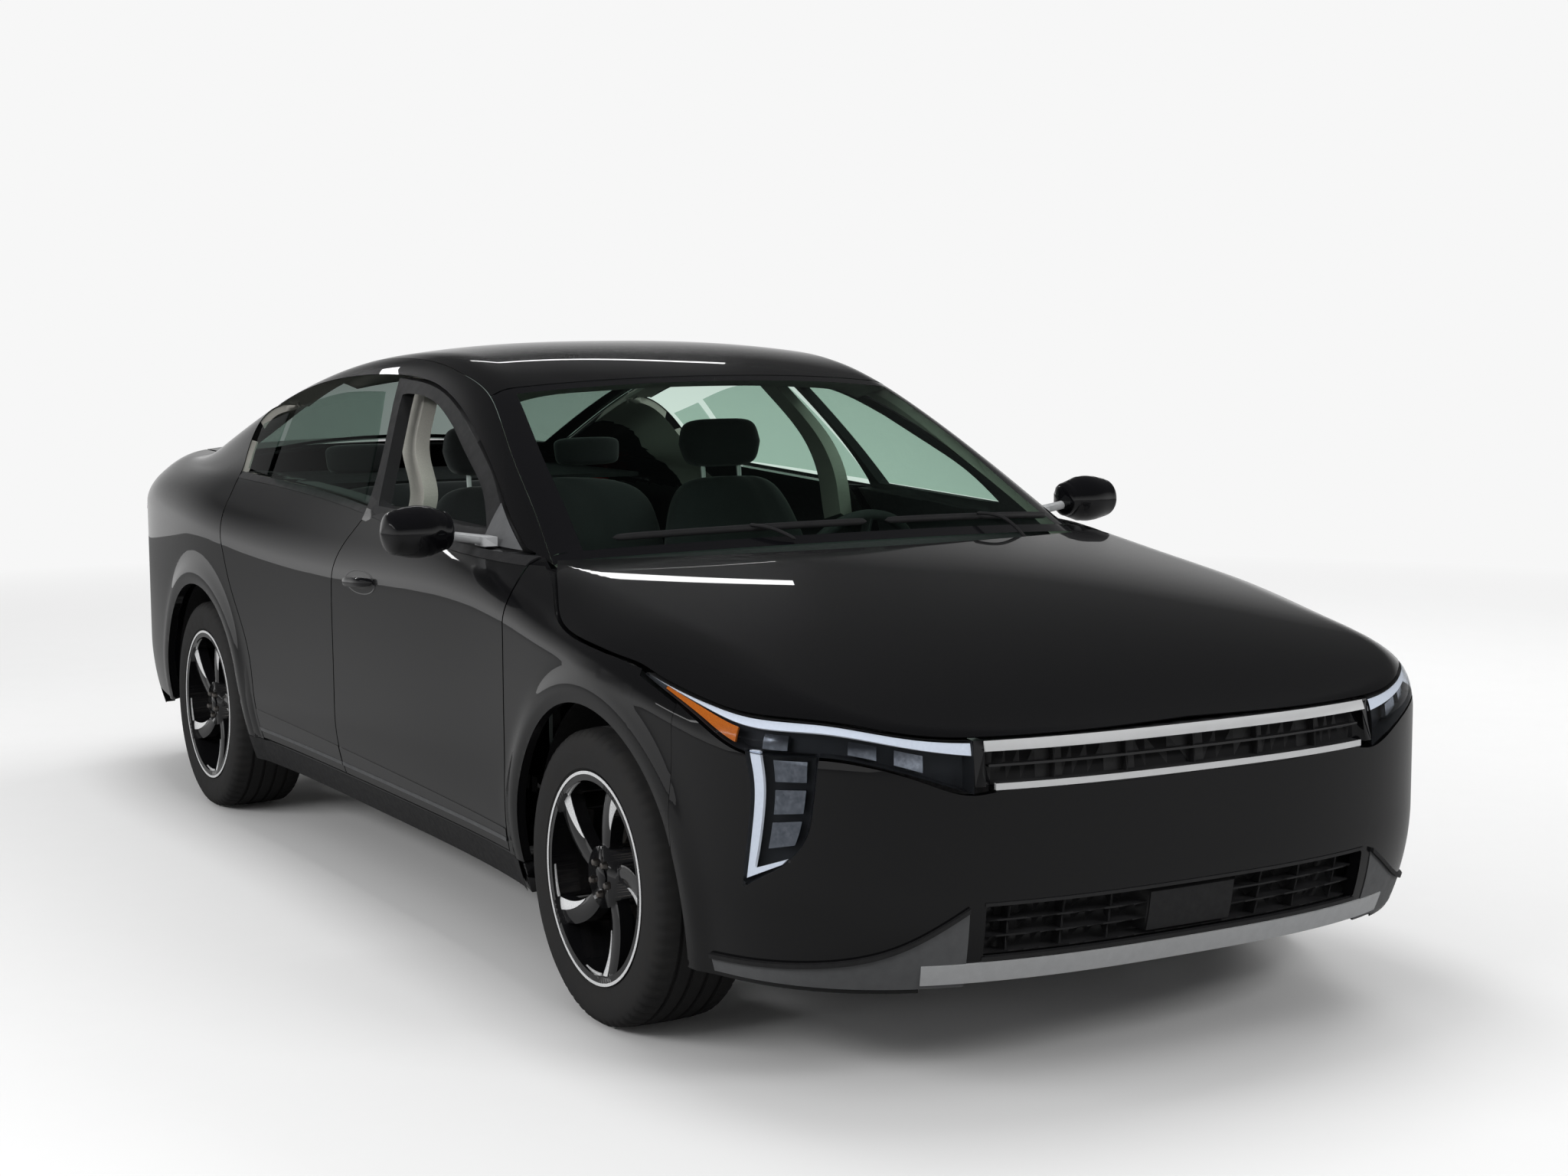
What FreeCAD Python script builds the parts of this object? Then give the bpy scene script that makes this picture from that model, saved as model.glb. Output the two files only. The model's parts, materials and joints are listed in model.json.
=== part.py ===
import FreeCAD, Part
import math
import os
from FreeCAD import Vector

# Four door sedan, millimetres, +X forward, +Y to the car's left, +Z up, ground at Z 0.
# The origin lies on the ground at the middle of the car's length and width.

# Driving dimensions
length = 4710.0
front_axle_x = 1485.0
wheelbase = 2720.0
rear_axle_x = front_axle_x - wheelbase
nose_x = length / 2.0
tail_x = -length / 2.0
tyre_radius = 317.0
tyre_width = 225.0
tyre_centre_y = 795.0
rim_radius = 216.0
shut_gap = 6.0
fit = 0.3
arch_radius = 372.0
door_thickness = 118.0
door_top_share = 0.27
frame_thickness = 42.0
skin = 26.0
glass_thickness = 5.0
door_bottom_z = 285.0
sill_bottom_z = 205.0
sill_top_z = 279.0
underside_z = 175.0
half_cabin_inside = 700.0

# Outline of the body seen from above, from the nose to the tail, left half
plan_points = [(2355, 0), (2347, 250), (2318, 450), (2262, 620), (2170, 750), (2040, 838),
               (1850, 890), (1485, 921), (1050, 906), (500, 897), (0, 897), (-500, 902),
               (-900, 914), (-1235, 925), (-1600, 913), (-1900, 878), (-2110, 812),
               (-2240, 700), (-2315, 500), (-2347, 260), (-2355, 0)]

# Side shape at stations along the car: x, tuck height, tuck depth, shoulder height,
# height over which the shoulder turns, and its final lean
side_stations = [(2355, 420, 60, 610, 180, 0.45), (2165, 430, 55, 630, 140, 0.65),
                 (1960, 450, 45, 660, 100, 1.0), (1820, 470, 40, 690, 90, 1.2),
                 (1550, 480, 38, 745, 90, 1.3), (1250, 480, 42, 780, 90, 1.2),
                 (1000, 470, 58, 810, 100, 1.0), (0, 460, 72, 805, 120, 0.85),
                 (-900, 460, 58, 825, 110, 0.9), (-1235, 480, 35, 850, 110, 0.95),
                 (-1750, 450, 50, 880, 110, 1.1), (-2200, 450, 60, 860, 120, 0.7),
                 (-2355, 430, 80, 800, 200, 0.35)]

# Height of the hood and of the rear deck along the middle, and how it falls to the sides
deck_points = [(2420, 672), (2317, 702), (2150, 765), (1950, 828), (1700, 884), (1450, 925),
               (1200, 957), (1000, 980), (700, 1015), (300, 1062), (0, 1090), (-600, 1120),
               (-1200, 1100), (-1500, 1078), (-1700, 1068), (-2000, 1066), (-2200, 1068),
               (-2300, 1070), (-2420, 1072)]
deck_fall_points = [(2400, 20), (2150, 34), (1900, 48), (1500, 58), (1100, 52), (0, 50),
                    (-1500, 50), (-2000, 46), (-2400, 40)]

# Cabin: half width at the belt line, height of the belt line, roof profile along the middle,
# how far its cross curves bow forward, and how much the roof falls to its sides
cabin_width_points = [(1300, 712), (1150, 734), (1000, 754), (800, 774), (500, 792), (0, 804),
                      (-500, 806), (-1000, 799), (-1270, 785), (-1500, 765), (-1900, 720)]
belt_points = [(1300, 938), (1000, 944), (700, 951), (300, 970), (0, 986), (-500, 1010),
               (-1000, 1027), (-1270, 1036), (-1900, 1050)]
roof_points = [(1500, 846), (1230, 940), (1130, 985), (900, 1105), (600, 1250), (350, 1345),
               (150, 1392), (-100, 1418), (-350, 1421), (-700, 1397), (-1000, 1349),
               (-1300, 1280), (-1600, 1195), (-1900, 1105), (-2150, 1030), (-2400, 955)]
bow_points = [(1300, 215), (900, 215), (330, 175), (0, 60), (-400, 0), (-800, -40),
              (-1300, -120), (-1900, -190)]
crown_points = [(1300, 10), (400, 18), (0, 36), (-400, 42), (-1000, 36), (-1400, 32), (-2000, 26)]
cabin_lean = 0.50
cabin_bulge = 0.00022


def spline(points):
    """Natural cubic spline through (place, value) points, as a function of the place."""
    data = sorted(points)
    xs = [float(p[0]) for p in data]
    ys = [float(p[1]) for p in data]
    n = len(xs)
    h = [xs[i + 1] - xs[i] for i in range(n - 1)]
    lower, diag, upper, rhs = [0.0] * n, [1.0] * n, [0.0] * n, [0.0] * n
    for i in range(1, n - 1):
        lower[i] = h[i - 1]
        diag[i] = 2.0 * (h[i - 1] + h[i])
        upper[i] = h[i]
        rhs[i] = 6.0 * ((ys[i + 1] - ys[i]) / h[i] - (ys[i] - ys[i - 1]) / h[i - 1])
    for i in range(1, n):
        k = lower[i] / diag[i - 1]
        diag[i] -= k * upper[i - 1]
        rhs[i] -= k * rhs[i - 1]
    second = [0.0] * n
    for i in range(n - 2, 0, -1):
        second[i] = (rhs[i] - upper[i] * second[i + 1]) / diag[i]

    def value(x):
        if x <= xs[0]:
            slope = (ys[1] - ys[0]) / h[0] - h[0] * second[1] / 6.0
            return ys[0] + slope * (x - xs[0])
        if x >= xs[-1]:
            slope = (ys[-1] - ys[-2]) / h[-1] + h[-1] * second[-2] / 6.0
            return ys[-1] + slope * (x - xs[-1])
        i = 0
        while x > xs[i + 1]:
            i += 1
        a = (xs[i + 1] - x) / h[i]
        b = (x - xs[i]) / h[i]
        bend = (a ** 3 - a) * second[i] + (b ** 3 - b) * second[i + 1]
        return a * ys[i] + b * ys[i + 1] + bend * h[i] ** 2 / 6.0

    return value


def soft_min(a, b, reach):
    """The smaller of two values, rounded where they differ by less than the reach."""
    k = max(reach - abs(a - b), 0.0) / reach
    return min(a, b) - k * k * reach / 4.0


def lerp(a, b, t):
    return a + (b - a) * t


# The plan outline as a smooth curve over its own length
ends = [(x, -y) for x, y in (plan_points[2], plan_points[1])]
tails = [(x, -y) for x, y in (plan_points[-2], plan_points[-3])]
outline = ends + plan_points + tails
run = [0.0]
for (xa, ya), (xb, yb) in zip(outline, outline[1:]):
    run.append(run[-1] + math.hypot(xb - xa, yb - ya))
run = [r - run[2] for r in run]
plan_x = spline([(r, p[0]) for r, p in zip(run, outline)])
plan_y = spline([(r, p[1]) for r, p in zip(run, outline)])
plan_length = run[-3]

tuck_height = spline([(s[0], s[1]) for s in side_stations])
tuck_depth = spline([(s[0], s[2]) for s in side_stations])
shoulder_height = spline([(s[0], s[3]) for s in side_stations])
shoulder_turn = spline([(s[0], s[4]) for s in side_stations])
shoulder_lean = spline([(s[0], s[5]) for s in side_stations])
deck_middle = spline(deck_points)
deck_fall = spline(deck_fall_points)
cabin_width = spline(cabin_width_points)
belt = spline(belt_points)
roof_middle = spline(roof_points)
roof_bow = spline(bow_points)
roof_crown = spline(crown_points)


def plan_at(s):
    """Point and outward direction of the plan outline at a length from the nose."""
    side = 1.0 if s >= 0 else -1.0
    a = abs(s)
    x, y = plan_x(a), plan_y(a)
    dx, dy = plan_x(a + 1.0) - plan_x(a - 1.0), plan_y(a + 1.0) - plan_y(a - 1.0)
    size = math.hypot(dx, dy)
    return x, side * y, dy / size, -side * dx / size


def length_at(x):
    """Length along the plan outline, from the nose, at which it reaches a given x."""
    low, high = 0.0, plan_length
    for _ in range(40):
        mid = 0.5 * (low + high)
        if plan_x(mid) > x:
            low = mid
        else:
            high = mid
    return low


# Steps along the plan outline, for the distance from any point to it
plan_steps = 120
plan_table = [(plan_x(i * plan_length / plan_steps), plan_y(i * plan_length / plan_steps))
              for i in range(plan_steps + 1)]


def plan_distance(x, y):
    """Distance inwards from the plan outline, and the x of the outline nearest to the point."""
    y = abs(y)
    nearest = min(range(plan_steps + 1),
                  key=lambda i: (plan_table[i][0] - x) ** 2 + (plan_table[i][1] - y) ** 2)
    s = nearest * plan_length / plan_steps
    for _ in range(3):
        ax, ay = plan_x(s), plan_y(s)
        bx, by = plan_x(s + 1.0) - plan_x(s - 1.0), plan_y(s + 1.0) - plan_y(s - 1.0)
        bx, by = bx / 2.0, by / 2.0
        cx, cy = plan_x(s + 8.0) + plan_x(s - 8.0) - 2 * ax, plan_y(s + 8.0) + plan_y(s - 8.0) - 2 * ay
        slope = (ax - x) * bx + (ay - y) * by
        bend = bx * bx + by * by + ((ax - x) * cx + (ay - y) * cy) / 64.0
        s -= max(-30.0, min(30.0, slope / max(bend, 0.3)))
        s = min(max(s, 0.0), plan_length)
    return math.hypot(plan_x(s) - x, plan_y(s) - y), plan_x(s)


arch_lip = 9.0
arch_lip_radius = 402.0
arch_lip_width = 36.0


def side_inset(x, z):
    """How far the body side stands inwards of the plan outline at a height."""
    below = max(0.0, tuck_height(x) - z) / (tuck_height(x) - 180.0)
    inset = tuck_depth(x) * below ** 2
    turn, lean = shoulder_turn(x), shoulder_lean(x)
    rise = z - shoulder_height(x)
    if rise > turn:
        inset += lean * (rise - turn / 2.0)
    elif rise > 0:
        inset += lean * rise * rise / (2.0 * turn)
    for axle in (front_axle_x, rear_axle_x):
        off = (math.hypot(x - axle, z - tyre_radius) - arch_lip_radius) / arch_lip_width
        inset -= arch_lip * math.exp(-off * off)
    return inset


def body_top(x, y):
    """Height of the hood, shoulder and rear deck above a point."""
    distance, place = plan_distance(x, y)
    turn, lean = shoulder_turn(place), shoulder_lean(place)
    if distance < lean * turn / 2.0:
        rise = math.sqrt(2.0 * turn * distance / lean)
    else:
        rise = turn / 2.0 + distance / lean
    edge = shoulder_height(place) + rise
    deck = deck_middle(x) - deck_fall(x) * (abs(y) / 850.0) ** 2.2
    return soft_min(deck, edge, 60.0)


def body_side(s, z):
    """Point of the outer skin of the lower body at a length along the outline and a height."""
    x, y, nx, ny = plan_at(s)
    inset = side_inset(x, z)
    if z > shoulder_height(x) + 20.0 and body_top(x - nx * inset, y - ny * inset) < z - 0.2:
        deepest = inset + 260.0
        for _ in range(18):
            mid = 0.5 * (inset + deepest)
            if body_top(x - nx * mid, y - ny * mid) < z:
                inset = mid
            else:
                deepest = mid
    return Vector(x - nx * inset, y - ny * inset, z)


def cabin_side(x, z):
    """Half width of the cabin at a height above the belt line."""
    rise = z - belt(x)
    return cabin_width(x) - cabin_lean * rise - cabin_bulge * rise * abs(rise)


def cabin_edge(x, y):
    """Height at which the cabin side has a given half width."""
    low, high = 700.0, 1800.0
    for _ in range(30):
        mid = 0.5 * (low + high)
        if cabin_side(x, mid) > y:
            low = mid
        else:
            high = mid
    return low


def roof_height(x, y):
    """Height of the windshield, roof and rear window surface, without its rounded sides."""
    bowed = x + roof_bow(x) * (y / 700.0) ** 2
    return roof_middle(bowed) - roof_crown(x) * (abs(y) / 600.0) ** 2.5


def cabin_top(x, y):
    """Height of the whole cabin above a point, with its sides rounded into the roof."""
    return soft_min(roof_height(x, y), cabin_edge(x, abs(y)), 90.0)


def places_along(lines):
    """Parameters from 0 to 1 along a family of lines of points, by their spacing."""
    steps = [0.0]
    for k in range(1, len(lines[0])):
        steps.append(steps[-1] + sum((line[k] - line[k - 1]).Length for line in lines))
    return [step / steps[-1] for step in steps]


def curves_through(lines):
    """Spline curves through lines of points, all with the same knots."""
    places = places_along(lines)
    curves = []
    for line in lines:
        curve = Part.BSplineCurve()
        curve.interpolate(Points=line, Parameters=places)
        curves.append(curve)
    return curves


def surface(grid):
    """Smooth surface through a grid of points, rows first and then across the rows."""
    rows = curves_through(grid)
    net = curves_through([list(line) for line in zip(*[row.getPoles() for row in rows])])
    poles = [list(line) for line in zip(*[line.getPoles() for line in net])]
    face = Part.BSplineSurface()
    face.buildFromPolesMultsKnots(poles, net[0].getMultiplicities(), rows[0].getMultiplicities(),
                                  net[0].getKnots(), rows[0].getKnots(), False, False,
                                  net[0].Degree, rows[0].Degree)
    return face


def skin_solid(outer, inner):
    """Solid between two grids of points of the same size."""
    a, b = surface(outer), surface(inner)
    faces = [a.toShape(), b.toShape()]
    ua, ub, va, vb = a.bounds()
    wa, wb, ta, tb = b.bounds()
    pairs = [(a.uIso(ua), b.uIso(wa)), (a.uIso(ub), b.uIso(wb)),
             (a.vIso(va), b.vIso(ta)), (a.vIso(vb), b.vIso(tb))]
    for first, second in pairs:
        faces.append(Part.makeRuledSurface(first.toShape(), second.toShape()))
    shell = Part.makeShell(faces)
    shell.sewShape()
    solid = Part.Solid(Part.Shell(shell.Faces))
    if solid.Volume < 0:
        solid.reverse()
    return solid


def normals(grid, towards):
    """Unit normals of a grid of points, on the side that a direction points to."""
    rows, cols = len(grid), len(grid[0])
    result = []
    for i in range(rows):
        line = []
        for j in range(cols):
            du = grid[min(i + 1, rows - 1)][j] - grid[max(i - 1, 0)][j]
            dv = grid[i][min(j + 1, cols - 1)] - grid[i][max(j - 1, 0)]
            n = du.cross(dv)
            n.normalize()
            line.append(n if n.dot(towards(grid[i][j])) > 0 else n * -1.0)
        result.append(line)
    return result


def inward(grid, depth, towards):
    """The grid moved inwards by a depth along its normals."""
    side = normals(grid, towards)
    return [[p - n * depth for p, n in zip(line, ns)] for line, ns in zip(grid, side)]


def shifted(grid, step):
    return [[p + step for p in line] for line in grid]


def lowered(grid, share):
    """The grid with its height over its lower edge reduced by a share."""
    return [[p - Vector(0, 0, share * (p.z - line[0].z)) for p in line] for line in grid]


def coons(near, far, first, last, rows, cols):
    """Flat grid filled between four border curves, each a function from 0 to 1."""
    a, b, c, d = near(0.0), near(1.0), far(0.0), far(1.0)
    grid = []
    for i in range(rows + 1):
        u = i / rows
        line = []
        for j in range(cols + 1):
            v = j / cols
            n, f, l, r = near(u), far(u), first(v), last(v)
            point = []
            for k in range(2):
                ruled = lerp(n[k], f[k], v) + lerp(l[k], r[k], u)
                corner = lerp(lerp(a[k], b[k], u), lerp(c[k], d[k], u), v)
                point.append(ruled - corner)
            line.append(point)
        grid.append(line)
    return grid


def along(points):
    """Smooth flat curve through points, as a function from 0 to 1."""
    if len(points) == 2:
        (xa, ya), (xb, yb) = points
        return lambda t: (lerp(xa, xb, t), lerp(ya, yb, t))
    place = [0.0]
    for (xa, ya), (xb, yb) in zip(points, points[1:]):
        place.append(place[-1] + math.hypot(xb - xa, yb - ya))
    fx = spline([(q, p[0]) for q, p in zip(place, points)])
    fy = spline([(q, p[1]) for q, p in zip(place, points)])
    return lambda t: (fx(t * place[-1]), fy(t * place[-1]))


def mirrored(shape):
    return shape.mirror(Vector(0, 0, 0), Vector(0, 1, 0))


def box(xa, xb, ya, yb, za, zb):
    return Part.makeBox(xb - xa, yb - ya, zb - za, Vector(xa, ya, za))


def prism_y(points, ya, yb, smooth=False):
    """Solid of a side outline of (x, z) points between two widths."""
    corners = [Vector(x, ya, z) for x, z in points]
    if smooth:
        curve = Part.BSplineCurve()
        curve.interpolate(corners, PeriodicFlag=True)
        wire = Part.Wire([curve.toShape()])
    else:
        wire = Part.makePolygon(corners + [corners[0]])
    return Part.Face(wire).extrude(Vector(0, yb - ya, 0))


def prism_z(points, za, zb):
    """Solid of a plan outline of (x, y) points between two heights."""
    corners = [Vector(x, y, za) for x, y in points]
    wire = Part.makePolygon(corners + [corners[0]])
    return Part.Face(wire).extrude(Vector(0, 0, zb - za))


def prism_x(points, xa, xb):
    """Solid of a cross outline of (y, z) points between two lengths."""
    corners = [Vector(xa, y, z) for y, z in points]
    wire = Part.makePolygon(corners + [corners[0]])
    return Part.Face(wire).extrude(Vector(xb - xa, 0, 0))


def outwards(point):
    return Vector(0, 1 if point.y > 0 else -1, 0)


def upwards(point):
    return Vector(0, 0, 1)


nodes = {}


def keep(name, shape):
    nodes[name] = shape


# Cuts between the side panels, as x over z
taper = 0.28
front_cut = spline([(205, 1000), (284, 1010), (400, 1040), (560, 1048), (700, 1048), (842, 1046),
                    (890, 1030), (927, 985), (960, 935)])
middle_cut = spline([(205, -91), (430, -94), (640, -96), (816, -93), (985, -80), (1192, -190),
                     (1337, -315)])
rear_cut = spline([(205, -742), (360, -750), (560, -800), (720, -930), (860, -1005), (1014, -1133),
                   (1060, -1180), (1150, -1236), (1222, -1268)])
seam_y = spline([(968, 745), (785, 705), (601, 671), (404, 625), (289, 600), (84, 583), (-107, 570),
                 (-369, 560), (-700, 554), (-1010, 556), (-1262, 559), (-1600, 574), (-1985, 606)])
glazing_gap = 1.5
rear_glazing_gap = 3.0

# Cuts along the nose, as z over length along the plan outline from the nose
hood_front_z = spline([(0, 701), (465, 698), (544, 700), (624, 707), (788, 729), (961, 734),
                       (1093, 748), (1192, 765), (1321, 792)])
band_low_z = spline([(504, 592), (610, 628), (698, 652), (790, 664), (968, 668), (1070, 706),
                     (1176, 742), (1321, 784)])
hood_side_z = spline([(1690, 790), (1510, 811), (1307, 844), (1210, 880), (1100, 918), (1020, 938)])
hood_corner = 1321.0
bumper_cut = 1160.0
grille_half = 481.0
grille_low = 600.0
intake_half = 478.0
intake_low = 274.0
intake_high = 376.0
chin_half = 604.0
chin_high = 262.0


def hood_rear(y):
    """The hood's rear edge seen from above, x over y."""
    return 1242.0 - 212.0 * (abs(y) / 735.0) ** 2.2


def level(value):
    return lambda place: value


def moved(cut, step):
    return lambda place: cut(place) + step


def side_patch(rear, front, low, high, rows, cols):
    """Grid of the body side between two cuts given as x over z and two as z over x."""
    xa = xb = xc = xd = 0.0
    for _ in range(12):
        xa, xb = rear(low(xa)), front(low(xb))
        xc, xd = rear(high(xc)), front(high(xd))
    za, zb, zc, zd = low(xa), low(xb), high(xc), high(xd)

    def lower(u):
        x = lerp(xa, xb, u)
        return x, low(x)

    def upper(u):
        x = lerp(xc, xd, u)
        return x, high(x)

    def back(v):
        z = lerp(za, zc, v)
        return rear(z), z

    def fore(v):
        z = lerp(zb, zd, v)
        return front(z), z

    flat = coons(lower, upper, back, fore, rows, cols)
    return [[body_side(length_at(x), z) for x, z in line] for line in flat]


def nose_patch(first, last, low, high, rows, cols):
    """Grid of the body side between two lengths along the outline and two z over length."""
    grid = []
    for i in range(rows + 1):
        s = lerp(first, last, i / rows)
        low_z, high_z = low(abs(s)), high(abs(s))
        grid.append([body_side(s, lerp(low_z, high_z, j / cols)) for j in range(cols + 1)])
    return grid


def around(grid, depth):
    """The grid moved inwards by a depth, level and square to the plan outline."""
    result = []
    for i, line in enumerate(grid):
        before, after = grid[max(i - 1, 0)][0], grid[min(i + 1, len(grid) - 1)][0]
        run_x, run_y = after.x - before.x, after.y - before.y
        size = math.hypot(run_x, run_y)
        inwards = Vector(-run_y / size, run_x / size, 0)
        if inwards.dot(Vector(line[0].x * 0.3, line[0].y, 0)) > 0:
            inwards = inwards * -1.0
        result.append([p + inwards * depth for p in line])
    return result


def cabin_half(x, z):
    """Half width of the rounded cabin at a height."""
    low, high = 250.0, 950.0
    for _ in range(24):
        mid = 0.5 * (low + high)
        if cabin_top(x, mid) > z:
            low = mid
        else:
            high = mid
    return low


def cabin_grid(flat):
    return [[Vector(x, cabin_half(x, z), z) for x, z in line] for line in flat]


def top_grid(flat, height):
    return [[Vector(x, y, height(x, y)) for x, y in line] for line in flat]


def tapered(grid, depth, rear_taper, front_taper, top_share=0.0):
    """The grid moved inboard by a depth, its upright edges drawn together and its top thinner."""
    rows = len(grid) - 1
    result = []
    for i, line in enumerate(grid):
        step = lerp(rear_taper, -front_taper, i / rows) * depth
        cols = len(line) - 1
        result.append([p + Vector(step, depth * (top_share * (j / cols) ** 5 - 1), 0)
                       for j, p in enumerate(line)])
    return result


def fused(shapes):
    whole = shapes[0]
    for shape in shapes[1:]:
        whole = whole.fuse(shape)
    return whole


# Upper door edges and side windows, as (x, z) points seen from the side
belt_sink = 30.0
pillar_foot = 858.0
pillar_line = along([(pillar_foot, belt(pillar_foot) - belt_sink), (836, 951), (727, 1006), (588, 1082),
                     (434, 1158), (255, 1231)])
front_top_line = along([(-306, 1327), (-151, 1321), (2, 1302), (121, 1274), (255, 1231)])
rear_top_line = along([(-1262, 1215), (-1120, 1252), (-900, 1292), (-620, 1319), (-322, 1328)])
rear_foot_z = 1003.0
rear_foot_x = rear_cut(rear_foot_z) + shut_gap / 2


def rear_corner_line(v):
    """Rear edge of the rear door's frame, from its foot up to the rail."""
    z = lerp(rear_foot_z, 1215, v)
    return rear_cut(z) + shut_gap / 2 + 1.5, z


def window(low, rear, high, front):
    """A window as its four border curves, each from low to high or from rear to front."""
    return along(low), along(high), along(rear), along(front)


front_window = window([(-8, 1002), (640, 984)], [(-8, 1002), (-60, 1082), (-215, 1284)],
                      [(-215, 1284), (-100, 1283), (40, 1262), (215, 1206)],
                      [(640, 984), (560, 1050), (400, 1128), (215, 1206)])
rear_window_side = window([(-885, 1026), (-118, 1006)], [(-885, 1026), (-960, 1225)],
                          [(-960, 1225), (-700, 1272), (-352, 1288)],
                          [(-118, 1006), (-165, 1082), (-352, 1288)])
quarter_window = window([(-1135, 1042), (-930, 1032)], [(-1135, 1042), (-1205, 1172)],
                        [(-1205, 1172), (-1010, 1212)], [(-930, 1032), (-1010, 1212)])


def window_prism(borders):
    """Cutter through the door frame with a window's outline."""
    low, high, rear, front = borders
    edges = []
    for curve in (low, front, high, rear):
        line = Part.BSplineCurve()
        line.interpolate([Vector(curve(i / 8)[0], 480, curve(i / 8)[1]) for i in range(9)])
        edges.append(line.toShape())
    return Part.Face(Part.Wire(Part.__sortEdges__(edges))).extrude(Vector(0, 420, 0))


def window_glass(borders):
    """Glass that fills a side window, set back from the frame's face."""
    set_back = 5.0
    flat = coons(borders[0], borders[1], borders[2], borders[3], 8, 6)
    middle_x, middle_z = flat[4][3]
    trim = 1.0 - fit / 100.0
    flat = [[(middle_x + (x - middle_x) * trim, middle_z + (z - middle_z) * trim) for x, z in line]
            for line in flat]
    outer = shifted(cabin_grid(flat), Vector(0, -set_back, 0))
    return skin_solid(outer, shifted(outer, Vector(0, -glass_thickness, 0)))


# Where the front door's upper corner makes room for the windshield pillar and the fender
pillar_pocket = box(862, 992, 600, 757, 915, 1000)
fender_pocket = box(980, 1022, 780, 843, 906, 936)
# Where the rear door's upper corner makes room for the quarter
quarter_pocket = box(-1165, -1143, 780, 806, 1018, 1038)


def front_door():
    gap = shut_gap / 2.0
    lower = side_patch(moved(middle_cut, gap), moved(front_cut, -gap), level(door_bottom_z), belt,
                       8, 16)
    panel = skin_solid(lower, tapered(lower, door_thickness, taper, 0.05, door_top_share))
    foot_z = belt(-60) - belt_sink

    def low_edge(u):
        x = lerp(middle_cut(foot_z) + gap, pillar_foot, u)
        return x, lerp(foot_z, belt(pillar_foot) - belt_sink, u)

    def rear_edge(v):
        z = lerp(foot_z, 1327, v)
        return middle_cut(z) + gap, z

    def top_edge(u):
        x, z = front_top_line(u)
        return x + (middle_cut(1327) + gap + 306) * (1 - u), z

    frame = cabin_grid(coons(low_edge, top_edge, rear_edge, pillar_line, 12, 6))
    frame = skin_solid(frame, tapered(frame, frame_thickness, taper, 0.0))
    whole = fused([panel, frame]).cut(window_prism(front_window))
    return whole.cut(pillar_pocket).cut(fender_pocket)


def rear_door():
    gap = shut_gap / 2.0
    lower = side_patch(moved(rear_cut, gap), moved(middle_cut, -gap), level(door_bottom_z), belt,
                       12, 12)
    panel = skin_solid(lower, tapered(lower, door_thickness, taper, 0.05, door_top_share))
    fore_foot = belt(-60) - belt_sink

    def low_edge(u):
        return lerp(rear_foot_x, middle_cut(fore_foot) - gap, u), lerp(rear_foot_z, fore_foot, u)

    def fore_edge(v):
        z = lerp(fore_foot, 1328, v)
        return middle_cut(z) - gap, z

    def top_edge(u):
        x, z = rear_top_line(u)
        return x + (middle_cut(1328) - gap + 322) * u, z

    frame = cabin_grid(coons(low_edge, top_edge, rear_corner_line, fore_edge, 12, 6))
    frame = skin_solid(frame, tapered(frame, frame_thickness, taper, 0.0))
    solid = fused([panel, frame]).cut(window_prism(rear_window_side))
    return solid.cut(window_prism(quarter_window)).cut(quarter_pocket)


# Front fender
def spline_of(places, function):
    return spline([(p, function(p)) for p in places])


hood_gap = shut_gap
fender_high = spline_of([950, 1040, 1100, 1210, 1307, 1510, 1640, 1720, 1780, 1840],
                        lambda x: (hood_side_z(max(x, 1028)) if x < 1690 else band_low_z(length_at(x)))
                        - hood_gap)
arch_cutter_front = Part.makeCylinder(arch_radius, 700, Vector(front_axle_x, 500, tyre_radius),
                                      Vector(0, 1, 0))
arch_cutter_rear = Part.makeCylinder(arch_radius, 700, Vector(rear_axle_x, 500, tyre_radius),
                                     Vector(0, 1, 0))
bumper_cut_x = plan_x(bumper_cut)
seam = 0.6


def front_fender():
    grid = side_patch(moved(front_cut, shut_gap / 2), level(bumper_cut_x - seam),
                      level(sill_top_z + fit), fender_high, 22, 22)
    under = lowered(shifted(grid, Vector(0, -skin, 0)), 0.02)
    rows = len(under) - 1
    under = [[p + Vector(22.0 * (1 - i / rows), 0, 0) for p in line] for i, line in enumerate(under)]
    return skin_solid(grid, under).cut(arch_cutter_front)


# Lamps
def module_grid(grow):
    """Grid of the upright lamp at the body corner, widened all round by a margin."""
    low = along([(874 - grow, 450 - grow), (961 + grow, 402 - grow)])
    high = along([(797 - grow, 672), (956 + grow, 672)])
    inner = along([(874 - grow, 450 - grow), (834 - grow, 490), (809 - grow, 563),
                   (797 - grow, 672)])
    outer = along([(961 + grow, 402 - grow), (946 + grow, 521), (942 + grow, 610),
                   (956 + grow, 672)])
    flat = coons(low, high, inner, outer, 4, 7)
    return [[body_side(s, z) for s, z in line] for line in flat]


lamp_depth = 60.0
band_first, band_last = 504.0, 1288.0


def band_grid():
    return nose_patch(band_first, band_last, moved(band_low_z, 1.0), moved(hood_front_z, -hood_gap), 20, 2)


def headlamp():
    upright = module_grid(0.0)
    band = band_grid()
    return fused([skin_solid(band, lowered(around(band, lamp_depth), 0.3)),
                  skin_solid(upright, around(upright, lamp_depth))])


bumper_depth = 32.0
bumper_end = 22.0
bumper_low_edge = grille_low - 2.3
bumper_high = spline([(0, bumper_low_edge), (300, bumper_low_edge), (440, bumper_low_edge),
                      (506, bumper_low_edge - 7), (610, 622), (698, 647), (790, 659), (968, 663),
                      (1070, 700), (1160, 734)])


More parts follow.
